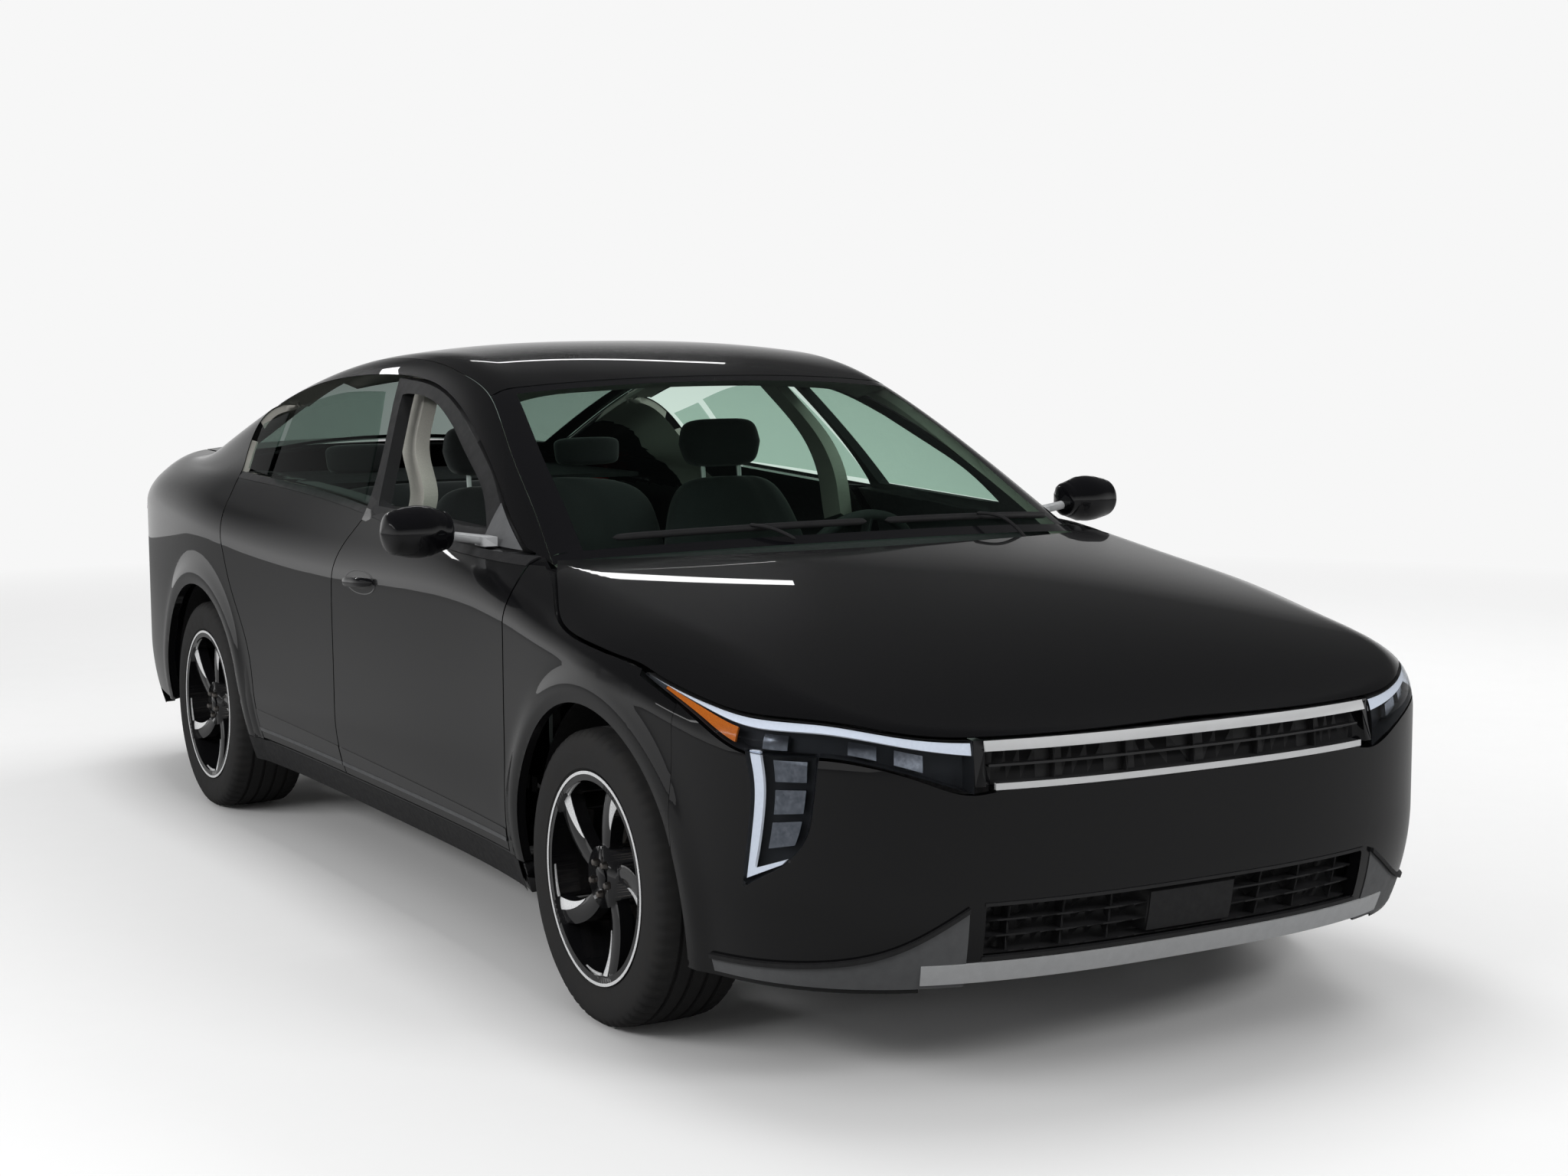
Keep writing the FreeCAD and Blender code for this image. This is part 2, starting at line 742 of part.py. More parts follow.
def front_bumper():
    grid = nose_patch(-bumper_cut, bumper_cut, level(sill_bottom_z), bumper_high, 44, 7)
    inner = bumper_cut - bumper_end
    under = nose_patch(-inner, inner, level(sill_bottom_z), bumper_high, 44, 7)
    solid = skin_solid(grid, around(under, bumper_depth))
    for side in (1, -1):
        cut = around(module_grid(0.4), -20.0)
        cutter = skin_solid(cut, around(cut, 120.0))
        solid = solid.cut(cutter if side > 0 else mirrored(cutter))
        arch = arch_cutter_front if side > 0 else mirrored(arch_cutter_front)
        solid = solid.cut(arch)
    intake = around(nose_patch(-intake_half, intake_half, level(intake_low), level(intake_high), 16, 3),
                    -20.0)
    chin = around(nose_patch(-chin_half, chin_half, level(sill_bottom_z - 10), level(chin_high), 16, 3),
                  -20.0)
    for opening in (intake, chin):
        solid = solid.cut(skin_solid(opening, around(opening, 100.0)))
    return solid


def nose_strip(half, low, high, set_back, depth, rows=8):
    low = low if callable(low) else level(low)
    grid = around(nose_patch(-half, half, low, level(high), rows, 1), set_back)
    return skin_solid(grid, around(grid, depth))


def nose_bar(place, width, low, high, set_back, depth):
    grid = around(nose_patch(place - width / 2, place + width / 2, level(low), level(high), 1, 1),
                  set_back)
    return skin_solid(grid, around(grid, depth))


def upper_grille():
    parts = [nose_strip(grille_half, 672, 692, 0.0, 32.0),
             nose_strip(460, moved(bumper_high, fit), 612, 0.0, 36.0, 16),
             nose_strip(grille_half, 603, 674, 30.0, 8.0), nose_strip(470, 641, 645, 14.0, 18.0)]
    for side in (1, -1):
        parts.append(nose_bar(side * 491.0, 22.0, 606, 692, 0.0, 36.0))
    for place in (-330, -165, 0, 165, 330):
        parts.append(nose_bar(place, 4.0, 610, 674, 14.0, 18.0))
    return fused(parts)


def lower_grille():
    parts = [nose_strip(intake_half - fit, intake_low + fit, intake_high - fit, 52.0, 10.0)]
    for height in (intake_low + fit, 308, 340, intake_high - fit - 4):
        parts.append(nose_strip(intake_half - 4, height, height + 4, 20.0, 36.0))
    for place in (-420, -300, -190, 190, 300, 420):
        parts.append(nose_bar(place, 5.0, intake_low + 3, intake_high - 3, 22.0, 32.0))
    parts.append(nose_strip(105, 284, 366, 12.0, 42.0, 6))
    return fused(parts)


def chin_bar():
    return nose_strip(chin_half - 3, 222, chin_high - fit, -4.0, 36.0, 12)


# Hood
def plan_of(point):
    return point.x, point.y


hood_front_corner = 700.0
hood_side_places = [1020, 1100, 1210, 1307, 1410, 1510, 1600]
hood_edge_lengths = [1321, 1260, 1192, 1093, 961, 852, 775, hood_front_corner]
hood_side_points = [plan_of(body_side(length_at(x), hood_side_z(x))) for x in hood_side_places]
hood_side_points += [plan_of(body_side(s, hood_front_z(s))) for s in hood_edge_lengths]
hood_side_points[0] = (hood_rear(hood_side_points[0][1]), hood_side_points[0][1])
hood_side = along(hood_side_points)


hood_thickness = 22.0
hood_fold = 75.0
hood_corner_fold = 22.0


def hood_under(x, y):
    return body_top(x, y) - hood_thickness


def hood():
    left_y = hood_side_points[0][1]

    def rear(u):
        y = lerp(-left_y, left_y, u)
        return hood_rear(y), y

    def front(u):
        s = lerp(-hood_front_corner, hood_front_corner, u)
        return plan_of(body_side(s, hood_front_z(abs(s))))

    def left(v):
        return hood_side(v)

    def right(v):
        x, y = hood_side(v)
        return x, -y

    flat = coons(rear, front, right, left, 20, 14)
    under = []
    for line in flat:
        cols = len(line) - 1
        row = []
        for j, (x, y) in enumerate(line):
            v = j / cols
            x += hood_corner_fold * (abs(y) / 735.0) ** 2.2 * (1 - v) ** 4 - hood_fold * v ** 3
            row.append((x, y * 0.96))
        under.append(row)
    return skin_solid(top_grid(flat, body_top), top_grid(under, hood_under))


# Windshield, roof and rear window, as (x, y) points seen from above
def seam_curve(first, last, gap):
    """Side border of a roof piece, just inside the seam along the rail."""
    def curve(v):
        x = lerp(first, last, v)
        return x, seam_y(x) - gap
    return curve


screen_top_x, screen_foot_x = 289.0, 972.0
roof_rear_x = -1010.0
rear_glass_x = -1968.0


def cross_curve(half, edge_x, middle_x):
    """Curve across the car from right to left, bowed from its edges to its middle."""
    return lambda u: (lerp(middle_x, edge_x, abs(2 * u - 1) ** 2), lerp(-half, half, u))


def cabin_patch(first, last, side, rows, cols):
    def left(v):
        return side(v)

    def right(v):
        x, y = side(v)
        return x, -y

    return top_grid(coons(first, last, right, left, rows, cols), cabin_top)


roof_thickness = 34.0
seam_joint = 4.0


def roof_panel():
    front_x = screen_top_x - seam_joint
    side = seam_curve(front_x, roof_rear_x, glazing_gap)
    grid = cabin_patch(cross_curve(side(0)[1], front_x, front_x + 97),
                       cross_curve(side(1)[1], roof_rear_x, roof_rear_x), side, 10, 10)
    middle = (screen_top_x + roof_rear_x) / 2
    under = inward(grid, roof_thickness, upwards)
    under = [[Vector(middle + (p.x - middle) * 0.94, p.y * 0.9, p.z) for p in line] for line in under]
    return skin_solid(grid, under)


def glass_under(grid):
    """Inner face of a bonded glass, its sides drawn in past the flanges that carry it."""
    under = inward(grid, glass_thickness, upwards)
    return [[Vector(p.x, p.y * 0.985, p.z) for p in line] for line in under]


def windshield():
    side = seam_curve(screen_foot_x, screen_top_x, glazing_gap)
    grid = cabin_patch(cross_curve(side(0)[1], screen_foot_x, 1178),
                       cross_curve(side(1)[1], screen_top_x, screen_top_x + 97), side, 12, 8)
    return skin_solid(grid, glass_under(grid))


def rear_window():
    front_x = roof_rear_x - seam_joint
    side = seam_curve(front_x, rear_glass_x, rear_glazing_gap)
    grid = cabin_patch(cross_curve(side(0)[1], front_x, front_x),
                       cross_curve(side(1)[1], rear_glass_x, rear_glass_x - 20), side, 16, 8)
    return skin_solid(grid, glass_under(grid))


# Tail
def tail_patch(first, last, low, high, rows, cols):
    """Grid round the tail, over lengths along the outline counted from its middle."""
    grid = []
    for i in range(rows + 1):
        t = lerp(first, last, i / rows)
        s = plan_length - abs(t)
        side = 1.0 if t >= 0 else -1.0
        low_z, high_z = low(abs(t)), high(abs(t))
        grid.append([body_side(side * s, lerp(low_z, high_z, j / cols)) for j in range(cols + 1)])
    return grid


lid_half = 590.0
lid_front_x = -1996.0
lid_low = 640.0
shoulder_seam = 1000.0
lid_arc = 612.0
tail_cut = plan_length - length_at(-1985.0)


def rear_top(x, y):
    """Height of the rear deck and the rear pillars together."""
    return -soft_min(-body_top(x, y), -cabin_top(x, y), 45.0)


def trunk_lid():
    """Deck and upright back of the lid as one bent sheet."""
    rows, back_cols, deck_cols = 14, 5, 7
    grid = []
    for i in range(rows + 1):
        t = lerp(1 - lid_arc, lid_arc - 1, i / rows)
        side = 1.0 if t >= 0 else -1.0
        s = side * (plan_length - abs(t))
        line = [body_side(s, lerp(lid_low, shoulder_seam, j / back_cols)) for j in range(back_cols + 1)]
        edge, front_y = line[-1], lid_half * t / lid_arc
        for j in range(1, deck_cols + 1):
            v = (j / deck_cols) ** 1.6
            x, y = lerp(edge.x, lid_front_x, v), lerp(edge.y, front_y, v)
            line.append(Vector(x, y, body_top(x, y)))
        grid.append(line)
    under = inward(grid, 24.0, lambda p: Vector(-0.7, 0, 0.7))
    return skin_solid(grid, [[Vector(p.x, p.y * 0.97, p.z) for p in line] for line in under])


lamp_inner = lid_half + 28
lamp_outer = tail_cut - 4.0
lamp_low = 818.0
lamp_high = 932.0


def tail_lamp():
    grid = tail_patch(lamp_inner + 0.4, lamp_outer - 0.4, level(lamp_low + 0.4), level(lamp_high - 0.4),
                      8, 2)
    return skin_solid(grid, around(grid, 50.0))


def rear_bumper():
    reach = tail_cut - seam
    low, high = level(sill_bottom_z + 10), level(lid_low - shut_gap)
    grid = tail_patch(-reach, reach, low, high, 30, 5)
    under = tail_patch(-reach + bumper_end, reach - bumper_end, low, high, 30, 5)
    solid = skin_solid(grid, around(under, bumper_depth))
    return solid.cut(arch_cutter_rear).cut(mirrored(arch_cutter_rear))


# Body sides
def rail_outer(u):
    """Outer edge of the roof rail, along the top of the doors from the pillar foot back."""
    x, z = rail_line(u)
    return x, cabin_half(x, z)


rail_front_x, rail_rear_x = 968.0, -1256.0
rail_line = along([(850, 955), (733, 1012), (593, 1088), (438, 1164), (258, 1238), (123, 1281),
                   (2, 1309), (-151, 1328), (-310, 1334), (-620, 1326), (-900, 1299), (-1120, 1259),
                   (rail_rear_x, 1224.5)])


def rail_inner(u):
    x = lerp(rail_front_x, rail_rear_x, u)
    return x, seam_y(x)


quarter_rear_x = -1985.0
sheet_gap = 2.0


def rear_pillar_front():
    """Front border of the rear pillar seen from above, from the belt up to the roof rail."""
    start = body_side(length_at(rear_cut(shoulder_seam) - shut_gap / 2), shoulder_seam)
    points = [plan_of(start)]
    for z in (1040, 1078, 1150, 1218):
        x = rear_cut(z) - shut_gap / 2 - 1
        points.append((x, cabin_half(x, z)))
    end = rail_rear_x - shut_gap
    points.append((end, seam_y(end)))
    return along(points)


def quarter_main():
    """Side and shoulder of the rear quarter as one bent sheet, ahead of the bumper cut."""
    rows, side_cols, top_cols = 16, 12, 9
    side = side_patch(moved(rear_cut, -shut_gap / 2), level(quarter_rear_x),
                      level(sill_top_z + fit), level(shoulder_seam), rows, side_cols)
    outer_points = [plan_of(line[-1]) for line in side]
    inner = seam_curve(rail_rear_x - shut_gap, quarter_rear_x, 0.0)
    back = along([outer_points[-1], inner(1.0)])

    def outer(u):
        k = u * rows
        i = min(int(k), rows - 1)
        (xa, ya), (xb, yb) = outer_points[i], outer_points[i + 1]
        return lerp(xa, xb, k - i), lerp(ya, yb, k - i)

    flat = coons(outer, inner, rear_pillar_front(), back, rows, top_cols)
    top = top_grid(flat, rear_top)
    grid = [line + over[1:] for line, over in zip(side, top)]
    return skin_solid(grid, inward(grid, skin, lambda p: Vector(0, 0.7, 0.7)))


def quarter_corner():
    """Rear corner above the bumper, between the bumper cut and the lid, round the lamp."""
    rows, side_cols, top_cols = 6, 7, 5
    grid = []
    for i in range(rows + 1):
        u = i / rows
        s = plan_length - lerp(tail_cut - sheet_gap, lid_arc + shut_gap, u)
        line = [body_side(s, lerp(lid_low, shoulder_seam, j / side_cols)) for j in range(side_cols + 1)]
        edge = line[-1]
        inner_x, inner_y = lerp(quarter_rear_x - sheet_gap, -2262, u), lerp(606, 598, u)
        for j in range(1, top_cols + 1):
            v = j / top_cols
            x, y = lerp(edge.x, inner_x, v), lerp(edge.y, inner_y, v)
            line.append(Vector(x, y, rear_top(x, y)))
        grid.append(line)
    under = inward(grid, 18.0, lambda p: Vector(-0.3, 0.7, 0.5))
    under = [[p + Vector(0, 14.0 * i / rows, 0) for p in line] for i, line in enumerate(under)]
    solid = skin_solid(grid, under)
    hole = around(tail_patch(lamp_inner, lamp_outer, level(lamp_low), level(lamp_high), 14, 4), -20.0)
    return solid.cut(skin_solid(hole, around(hole, 120.0)))


def rod(start, end, radius):
    run = end - start
    return Part.makeCylinder(radius, run.Length, start, run)


def corner_bridges():
    """Ties inside the skin that join the quarter's two sheets at the bumper cut."""
    s = length_at(quarter_rear_x)
    ties = []
    for z in (680, 740, 950):
        ties.append(rod(body_side(s - 20, z) - Vector(0, skin / 2, 0),
                        body_side(s + 20, z) - Vector(0, skin / 2, 0), 7.0))
    return ties


# Pillars and sills
sill_inside_y = 662.0
flange_drop = 5.0
post_half = 52.0
post_depth = 45.0
rail_drop = 28.0
post_centre = spline([(240, -92), (760, -114), (900, -105), (985, -72), (1075, -112), (1192, -196),
                      (1350, -330)])
post_outside = spline([(240, 742), (640, 742), (800, 733), (900, 698), (985, 666), (1100, 660),
                       (1200, 622), (1290, 574), (1350, 545)])
liner_radius = 390.0
post_width = 58.0


def rail_bridges():
    """Ties inside the skin that join the roof rail to the rear pillar."""
    ties = []
    for y in (574, 586):
        a = Vector(-1300, y, cabin_top(-1300, y) - 14)
        b = Vector(-1236, y, cabin_top(-1236, y) - 14)
        ties.append(rod(a, b, 6.0))
    return ties


def roof_rail():
    """Windshield pillar and roof rail as one strip above the doors."""
    flat = coons(rail_outer, rail_inner, along([rail_outer(0.0), rail_inner(0.0)]),
                 along([rail_outer(1.0), rail_inner(1.0)]), 24, 3)
    rail = top_grid(flat, cabin_top)
    under = []
    for line in rail:
        outer_edge, inner_edge = line[0], line[-1]
        low_outer = outer_edge + Vector(0, -frame_thickness - 4, 0)
        narrow = outer_edge.y - inner_edge.y
        step = max(frame_thickness + 16 - narrow, 14.0)
        low_inner = inner_edge + Vector(0, -step, -rail_drop)
        cols = len(line) - 1
        under.append([low_outer + (low_inner - low_outer) * (j / cols) for j in range(cols + 1)])
    return skin_solid(rail, under)


def middle_post():
    grid = []
    for i in range(11):
        z = lerp(240, 1342, i / 10)
        grid.append([Vector(post_centre(z) + side * post_half, post_outside(z), z) for side in (-1, 1)])
    return skin_solid(grid, shifted(grid, Vector(0, -post_depth, 0)))


def hinge_post():
    levels = (sill_bottom_z + 5, 300, 450, 600, 750, 872)
    rear = [(front_cut(z) + 12, z) for z in levels]
    front = [(front_cut(z) + post_width, z) for z in reversed(levels)]
    return prism_y(rear + front, 664, 796)


def sill():
    grid = side_patch(level(-862), level(1112), level(sill_bottom_z), level(sill_top_z), 14, 2)
    solid = skin_solid(grid, shifted(grid, Vector(0, -150, 0)))
    return solid.cut(arch_cutter_front).cut(arch_cutter_rear)


def hinge_leaves():
    """Leaves of the door hinges, up to the front faces of both doors."""
    leaves = []
    for z in (440, 700):
        face = min(front_cut(z + d) for d in (-20, 0, 20))
        leaves.append(box(face - shut_gap / 2 + 3 * fit, front_cut(z) + 20, 812, 840, z - 20, z + 20))
        leaves.append(box(front_cut(z) + 13, front_cut(z) + 30, 780, 840, z - 20, z + 20))
    for z in (330, 780):
        face = max(middle_cut(z + d) for d in (-20, 0, 20))
        leaves.append(box(face - shut_gap / 2 + 2 * fit, face + 9, 700, 840, z - 20, z + 20))
    return leaves


def body_side_left():
    inner_sill = box(rear_axle_x + liner_radius + 2, 1040, sill_inside_y, 742,
                     sill_bottom_z - flange_drop, 400)
    rear_post = box(rear_axle_x + liner_radius + fit, -788, sill_inside_y, 872, 240, 470)
    foot = box(930, 1095, 688, 718, 850, 908)
    return fused([sill(), inner_sill, hinge_post(), rear_post, middle_post(), foot] + hinge_leaves()
                 + [quarter_main().cut(arch_cutter_rear)] + corner_bridges() + [quarter_corner()]
                 + rail_bridges() + [roof_rail()])


# Floor, bulkheads and cowl
bulkhead_x = 1082.0
bulkhead_z = 905.0
floor_z = 196.0
floor_thickness = 18.0
floor_half = sill_inside_y - fit
rear_floor_z = 345.0
rear_floor_rise = 40.0
lid_catch_z = 690.0


def bent_sheet(points, thickness, half):
    """Sheet of a thickness on the inner side of a line of (x, z) points, across the car."""
    inner = []
    for i, (x, z) in enumerate(points):
        turns = []
        for a, b in ((i - 1, i), (i, i + 1)):
            if a >= 0 and b < len(points):
                dx, dz = points[b][0] - points[a][0], points[b][1] - points[a][1]
                size = math.hypot(dx, dz)
                turns.append((dz / size, -dx / size))
        nx = sum(t[0] for t in turns) / len(turns)
        nz = sum(t[1] for t in turns) / len(turns)
        size = nx * nx + nz * nz
        inner.append((x + nx / size * thickness, z + nz / size * thickness))
    return prism_y(points + list(reversed(inner)), -half, half)


def rear_floor(x):
    """Height of the underside of the rear floor."""
    return rear_floor_z + rear_floor_rise * (-700.0 - x) / 530.0


def floor_pan():
    sheet = bent_sheet([(bulkhead_x, bulkhead_z), (bulkhead_x, 330), (880, floor_z), (-600, floor_z),
                        (-700, rear_floor_z), (-1230, rear_floor(-1230)), (-2245, rear_floor(-1230) + 6),
                        (-2245, lid_catch_z)], floor_thickness, floor_half)
    trim = box(-2400, -2100, 560, 700, 380, 720)
    sheet = sheet.cut(trim).cut(mirrored(trim))
    reach = body_side(plan_length - 1.0, lid_low + 30).x + 24.0 + 3.0
    catch = box(reach, -2240, -40, 40, lid_low + 10, lid_catch_z)
    return sheet.fuse(catch)


def cowl():
    """Tray under the wipers, between the windshield and the hood."""
    rows, cols, sink = 10, 2, 14.0
    grid = []
    for i in range(rows + 1):
        y = lerp(-700, 700, i / rows)
        rear = 1178 - 206 * (y / 744.2) ** 2 + 1.0
        front = hood_rear(y) - shut_gap
        line = []
        for j in range(cols + 1):
            x = lerp(rear, front, j / cols)
            line.append(Vector(x, y, min(body_top(x, y), cabin_top(rear, y)) - sink))
        grid.append(line)
    tray = skin_solid(grid, shifted(grid, Vector(0, 0, -12)))
    foot_z = bulkhead_z + fit
    riser = [(1064, foot_z), (1160, foot_z), (1206, 932), (1196, 938), (1155, foot_z + 12), (1064, foot_z + 12)]
    return tray.fuse(prism_y(riser, -200, 200))


# Front structure
beam_y = 430.0
beam_half = 25.0
beam_low = 430.0
beam_high = 530.0
radiator_x = 2130.0
tie_high = 690.0


def front_structure():
    parts = [nose_strip(466, 440, 520, bumper_depth + fit, 30.0)]
    tower = [(440, 530), (470, 530), (560, 707.3), (722, 707.3), (722, 765), (620, 840), (540, 840),
             (beam_y + beam_half, 640), (440, 620)]
    for side in (1, -1):
        rail = box(bulkhead_x + fit, 2262, beam_y - beam_half, beam_y + beam_half, beam_low, beam_high)
        turret = prism_x(tower, 1410, 1560)
        stop = Part.makeCylinder(12, hood_under(radiator_x + 14, 430) - fit - tie_high + 20,
                                 Vector(radiator_x, 420, tie_high - 20))
        for piece in (rail, turret, stop):
            parts.append(piece if side > 0 else mirrored(piece))
    parts.append(box(radiator_x - 20, radiator_x + 20, -600, 600, 650, tie_high))
    parts.append(box(radiator_x - 20, radiator_x + 20, -330, 330, 290, 660))
    parts.append(box(radiator_x - 20, radiator_x + 20, -440, 440, 420, 540))
    return fused(parts)


def wheel_liners():
    """Half shells inside the four arches, the rear ones with the wall of the wheelhouse."""
    shells = []
    for axle, inner_y, outer_y, wall in ((front_axle_x, 706.0, 848.0, 0.0),
                                         (rear_axle_x, sill_inside_y, 876.0, 7.0)):
        outer = Part.makeCylinder(liner_radius, outer_y - inner_y, Vector(axle, inner_y, tyre_radius),
                                  Vector(0, 1, 0))
        inner = Part.makeCylinder(liner_radius - 5, outer_y - inner_y - wall,
                                  Vector(axle, inner_y + wall, tyre_radius), Vector(0, 1, 0))
        axle_hole = Part.makeCylinder(110, 20, Vector(axle, sill_inside_y - 5, tyre_radius), Vector(0, 1, 0))
        shell = outer.cut(inner).cut(box(axle - 400, axle + 400, 600, 900, -100, tyre_radius + 6))
        shell = shell.cut(axle_hole)
        shells += [shell, mirrored(shell)]
    return Part.makeCompound(shells)


# Power unit, subframe, rear axle, exhaust and tank
engine_half = 360.0
ball_joint_y = 700.0
arm_low = 190.0
arm_high = 215.0


def engine():
    block = box(1330, 1850, -engine_half, engine_half, 300, 770)
    for side in (1, -1):
        mount = box(1560, 1640, engine_half - 5, beam_y - beam_half - fit, 455, 505)
        block = block.fuse(mount if side > 0 else mirrored(mount))
    return block


def front_subframe():
    parts = [box(1380, 1530, -beam_y - beam_half, beam_y + beam_half, 185, 240),
             rod(Vector(1345, -440, 262), Vector(1345, 440, 262), 22), box(1330, 1400, -60, 60, 225, 275)]
    for side in (1, -1):
        arm = prism_z([(1385, 380), (1525, 380), (front_axle_x + 24, ball_joint_y),
                       (front_axle_x - 24, ball_joint_y)], arm_low, arm_high)
        eye = Part.makeCylinder(30, arm_high - arm_low, Vector(front_axle_x, ball_joint_y, arm_low))
        leg = box(1400, 1480, beam_y - beam_half, beam_y + beam_half, 230, beam_low - fit)
        for piece in (arm, eye, leg):
            parts.append(piece if side > 0 else mirrored(piece))
    return fused(parts)


hub_face_y = 716.0


def rear_axle_beam():
    beam_x = -1085.0
    parts = [rod(Vector(beam_x, -600, 300), Vector(beam_x, 600, 300), 34)]
    outline_points = [(-772, 280), (-772, 335), (-1085, 334), (-1215, 360), (-1270, 360), (-1270, 272),
                      (-1100, 262)]
    for side in (1, -1):
        arm = prism_y(outline_points, 560, 618)
        eye = box(-800, -750, 570, 608, 300, rear_floor(-750) - fit)
        carrier = rod(Vector(rear_axle_x, 610, tyre_radius), Vector(rear_axle_x, 680, tyre_radius), 60)
        plate = rod(Vector(rear_axle_x, 678, tyre_radius), Vector(rear_axle_x, hub_face_y, tyre_radius), 62)
        spring = rod(Vector(-1150, 500, 310), Vector(-1150, 500, rear_floor(-1100) - fit), 48)
        for piece in (arm, eye, carrier, plate, spring):
            parts.append(piece if side > 0 else mirrored(piece))
    return fused(parts)


def exhaust():
    pipe = 28.0
    under = floor_z - pipe - fit
    points = [(1240, -60, under), (-500, -60, under), (-640, -380, under), (-1400, -380, 205),
              (-1520, -340, 235)]
    parts = []
    for a, b in zip(points, points[1:]):
        parts.append(rod(Vector(*a), Vector(*b), pipe))
        parts.append(Part.makeSphere(pipe, Vector(*b)))
    silencer = box(-2080, -1500, -520, -160, 185, 300)
    edges = [e for e in silencer.Edges if abs(e.tangentAt(e.FirstParameter).x) > 0.9]
    parts.append(silencer.makeFillet(50, edges))
    for x in (-1600, -1980):
        top = rear_floor(-1230) - fit
        parts.append(rod(Vector(x, -340, 290), Vector(x, -340, top), 9))
    parts.append(rod(Vector(-2060, -430, 240), Vector(-2195, -430, 240), pipe))
    return fused(parts)


def fuel_tank():
    gap = 1.0
    return prism_y([(-730, 190), (-730, rear_floor(-730) - gap), (-1020, rear_floor(-1020) - gap),
                    (-1020, 190)], -300, 450)


# Cabin
floor_top = floor_z + floor_thickness


def dashboard():
    face = bulkhead_x - floor_thickness - fit
    dash = prism_y([(face, 640), (face, 895), (980, 915), (770, 925), (700, 900), (675, 810), (720, 700),
                    (880, 640)], -650, 650)
    console = prism_y([(-120, floor_top + fit), (-120, 470), (300, 500), (620, 700), (640, 760),
                       (860, 760), (860, floor_top + fit)], -105, 105)
    return dash.fuse(console)


seat_half = 250.0
seat_y = 370.0


def seat_solid():
    cushion = prism_y([(-120, 310), (-80, 265), (60, 262), (200, 268), (330, 290), (400, 350),
                       (395, 400), (340, 425),
                       (60, 395), (-120, 420)], -seat_half, seat_half, True)
    back = prism_y([(-90, 330), (-20, 420), (-70, 620), (-150, 860), (-215, 1000), (-260, 1035),
                    (-320, 1010), (-310, 900), (-230, 620), (-200, 400)], -seat_half, seat_half, True)
    rest = prism_y([(-225, 1050), (-240, 1180), (-275, 1200), (-325, 1180), (-330, 1060),
                    (-280, 1035)], -135, 135, True)
    posts = [rod(Vector(-272, y, 990), Vector(-282, y, 1070), 7) for y in (-60, 60)]
    runners = [box(-60, 320, y - 20, y + 20, floor_top + fit, 330) for y in (-200, 200)]
    return fused([cushion, back, rest] + posts + runners)


def front_seats():
    seat = seat_solid()
    return Part.makeCompound([seat.translated(Vector(0, seat_y, 0)), seat.translated(Vector(0, -seat_y, 0))])


bench_back = 1268.0


def rear_bench():
    def over(x):
        return rear_floor(x) + floor_thickness + 1.0

    bench = prism_y([(-705, over(-705)), (-560, 390), (-520, 440), (-530, 490), (-600, 515), (-960, 490),
                     (-1040, 620), (-1160, 960), (-1200, 985), (-bench_back, 980), (-bench_back, 940), (-1190, 640),
                     (-1120, over(-1120))], -615, 615)
    rests = []
    for y in (-390, 390):
        rest = prism_y([(-1185, 1010), (-1200, 1095), (-1235, 1105), (-1268, 1085), (-1262, 1010),
                        (-1225, 995)], y - 125, y + 125, True)
        rests += [rest, rod(Vector(-1225, y - 40, 960), Vector(-1228, y - 40, 1040), 7),
                  rod(Vector(-1225, y + 40, 960), Vector(-1228, y + 40, 1040), 7)]
    return fused([bench] + rests)


def parcel_shelf():
    return box(-1930, -bench_back - fit, -600, 600, 962, 976)


wheel_axis_tilt = math.radians(24.0)
column_end = Vector(480, seat_y, 800)


ring_radius = 178.0
ring_half = 15.0
ring_sides = 8


def steering_wheel():
    """Ring, hub and three spokes square to a column that slopes down and forwards."""
    axis = Vector(math.cos(wheel_axis_tilt), 0, -math.sin(wheel_axis_tilt))
    up = Vector(math.sin(wheel_axis_tilt), 0, math.cos(wheel_axis_tilt))
    section = []
    for k in range(ring_sides):
        a = 2 * math.pi * k / ring_sides
        section.append(column_end + up * (ring_radius + ring_half * math.cos(a)) + axis * (ring_half * math.sin(a)))
    ring = Part.Face(Part.makePolygon(section + section[:1])).revolve(column_end, axis, 360)
    parts = [ring, rod(column_end - axis * 12, column_end + axis * 34, 52)]
    for turn in (90, 210, 330):
        a = math.radians(turn - 120)
        out = Vector(0, math.cos(a), 0) + up * math.sin(a)
        parts.append(rod(column_end + axis * 8 + out * 30, column_end + out * (ring_radius - 6), 13))
    parts.append(rod(column_end + axis * 20, column_end + axis * 160, 22))
    return fused(parts)


def steering_column():
    """Shroud from the dashboard to the steering wheel's shaft."""
    axis = Vector(math.cos(wheel_axis_tilt), 0, -math.sin(wheel_axis_tilt))
    start = column_end + axis * (160 + fit)
    return rod(start, start + axis * 130, 45)


def turned(points):
    """Solid turned about the Y axis from (y, radius) points."""
    corners = [Vector(0, y, r) for y, r in points]
    wire = Part.makePolygon(corners + [corners[0]])
    return Part.Face(wire).revolve(Vector(0, 0, 0), Vector(0, 1, 0), 360)


# Mirrors
mirror_middle = Vector(705, 968, 992)


def mirror_left():
    """Cap on its foot at the front corner of the door's window."""
    cap = turned([(-86, 0), (-82, 26), (-62, 49), (-25, 62), (25, 62), (60, 54), (80, 34), (88, 0)])
    cap = cap.translated(mirror_middle)
    cap = cap.cut(box(mirror_middle.x - 100, mirror_middle.x - 34, 850, 1100, 900, 1100))
    base_z = belt(690) + fit
    base = box(690, 750, 784, 820, base_z, 976)
    arm = rod(Vector(720, 800, 966), Vector(712, 915, 982), 13)
    return fused([cap, base, arm])


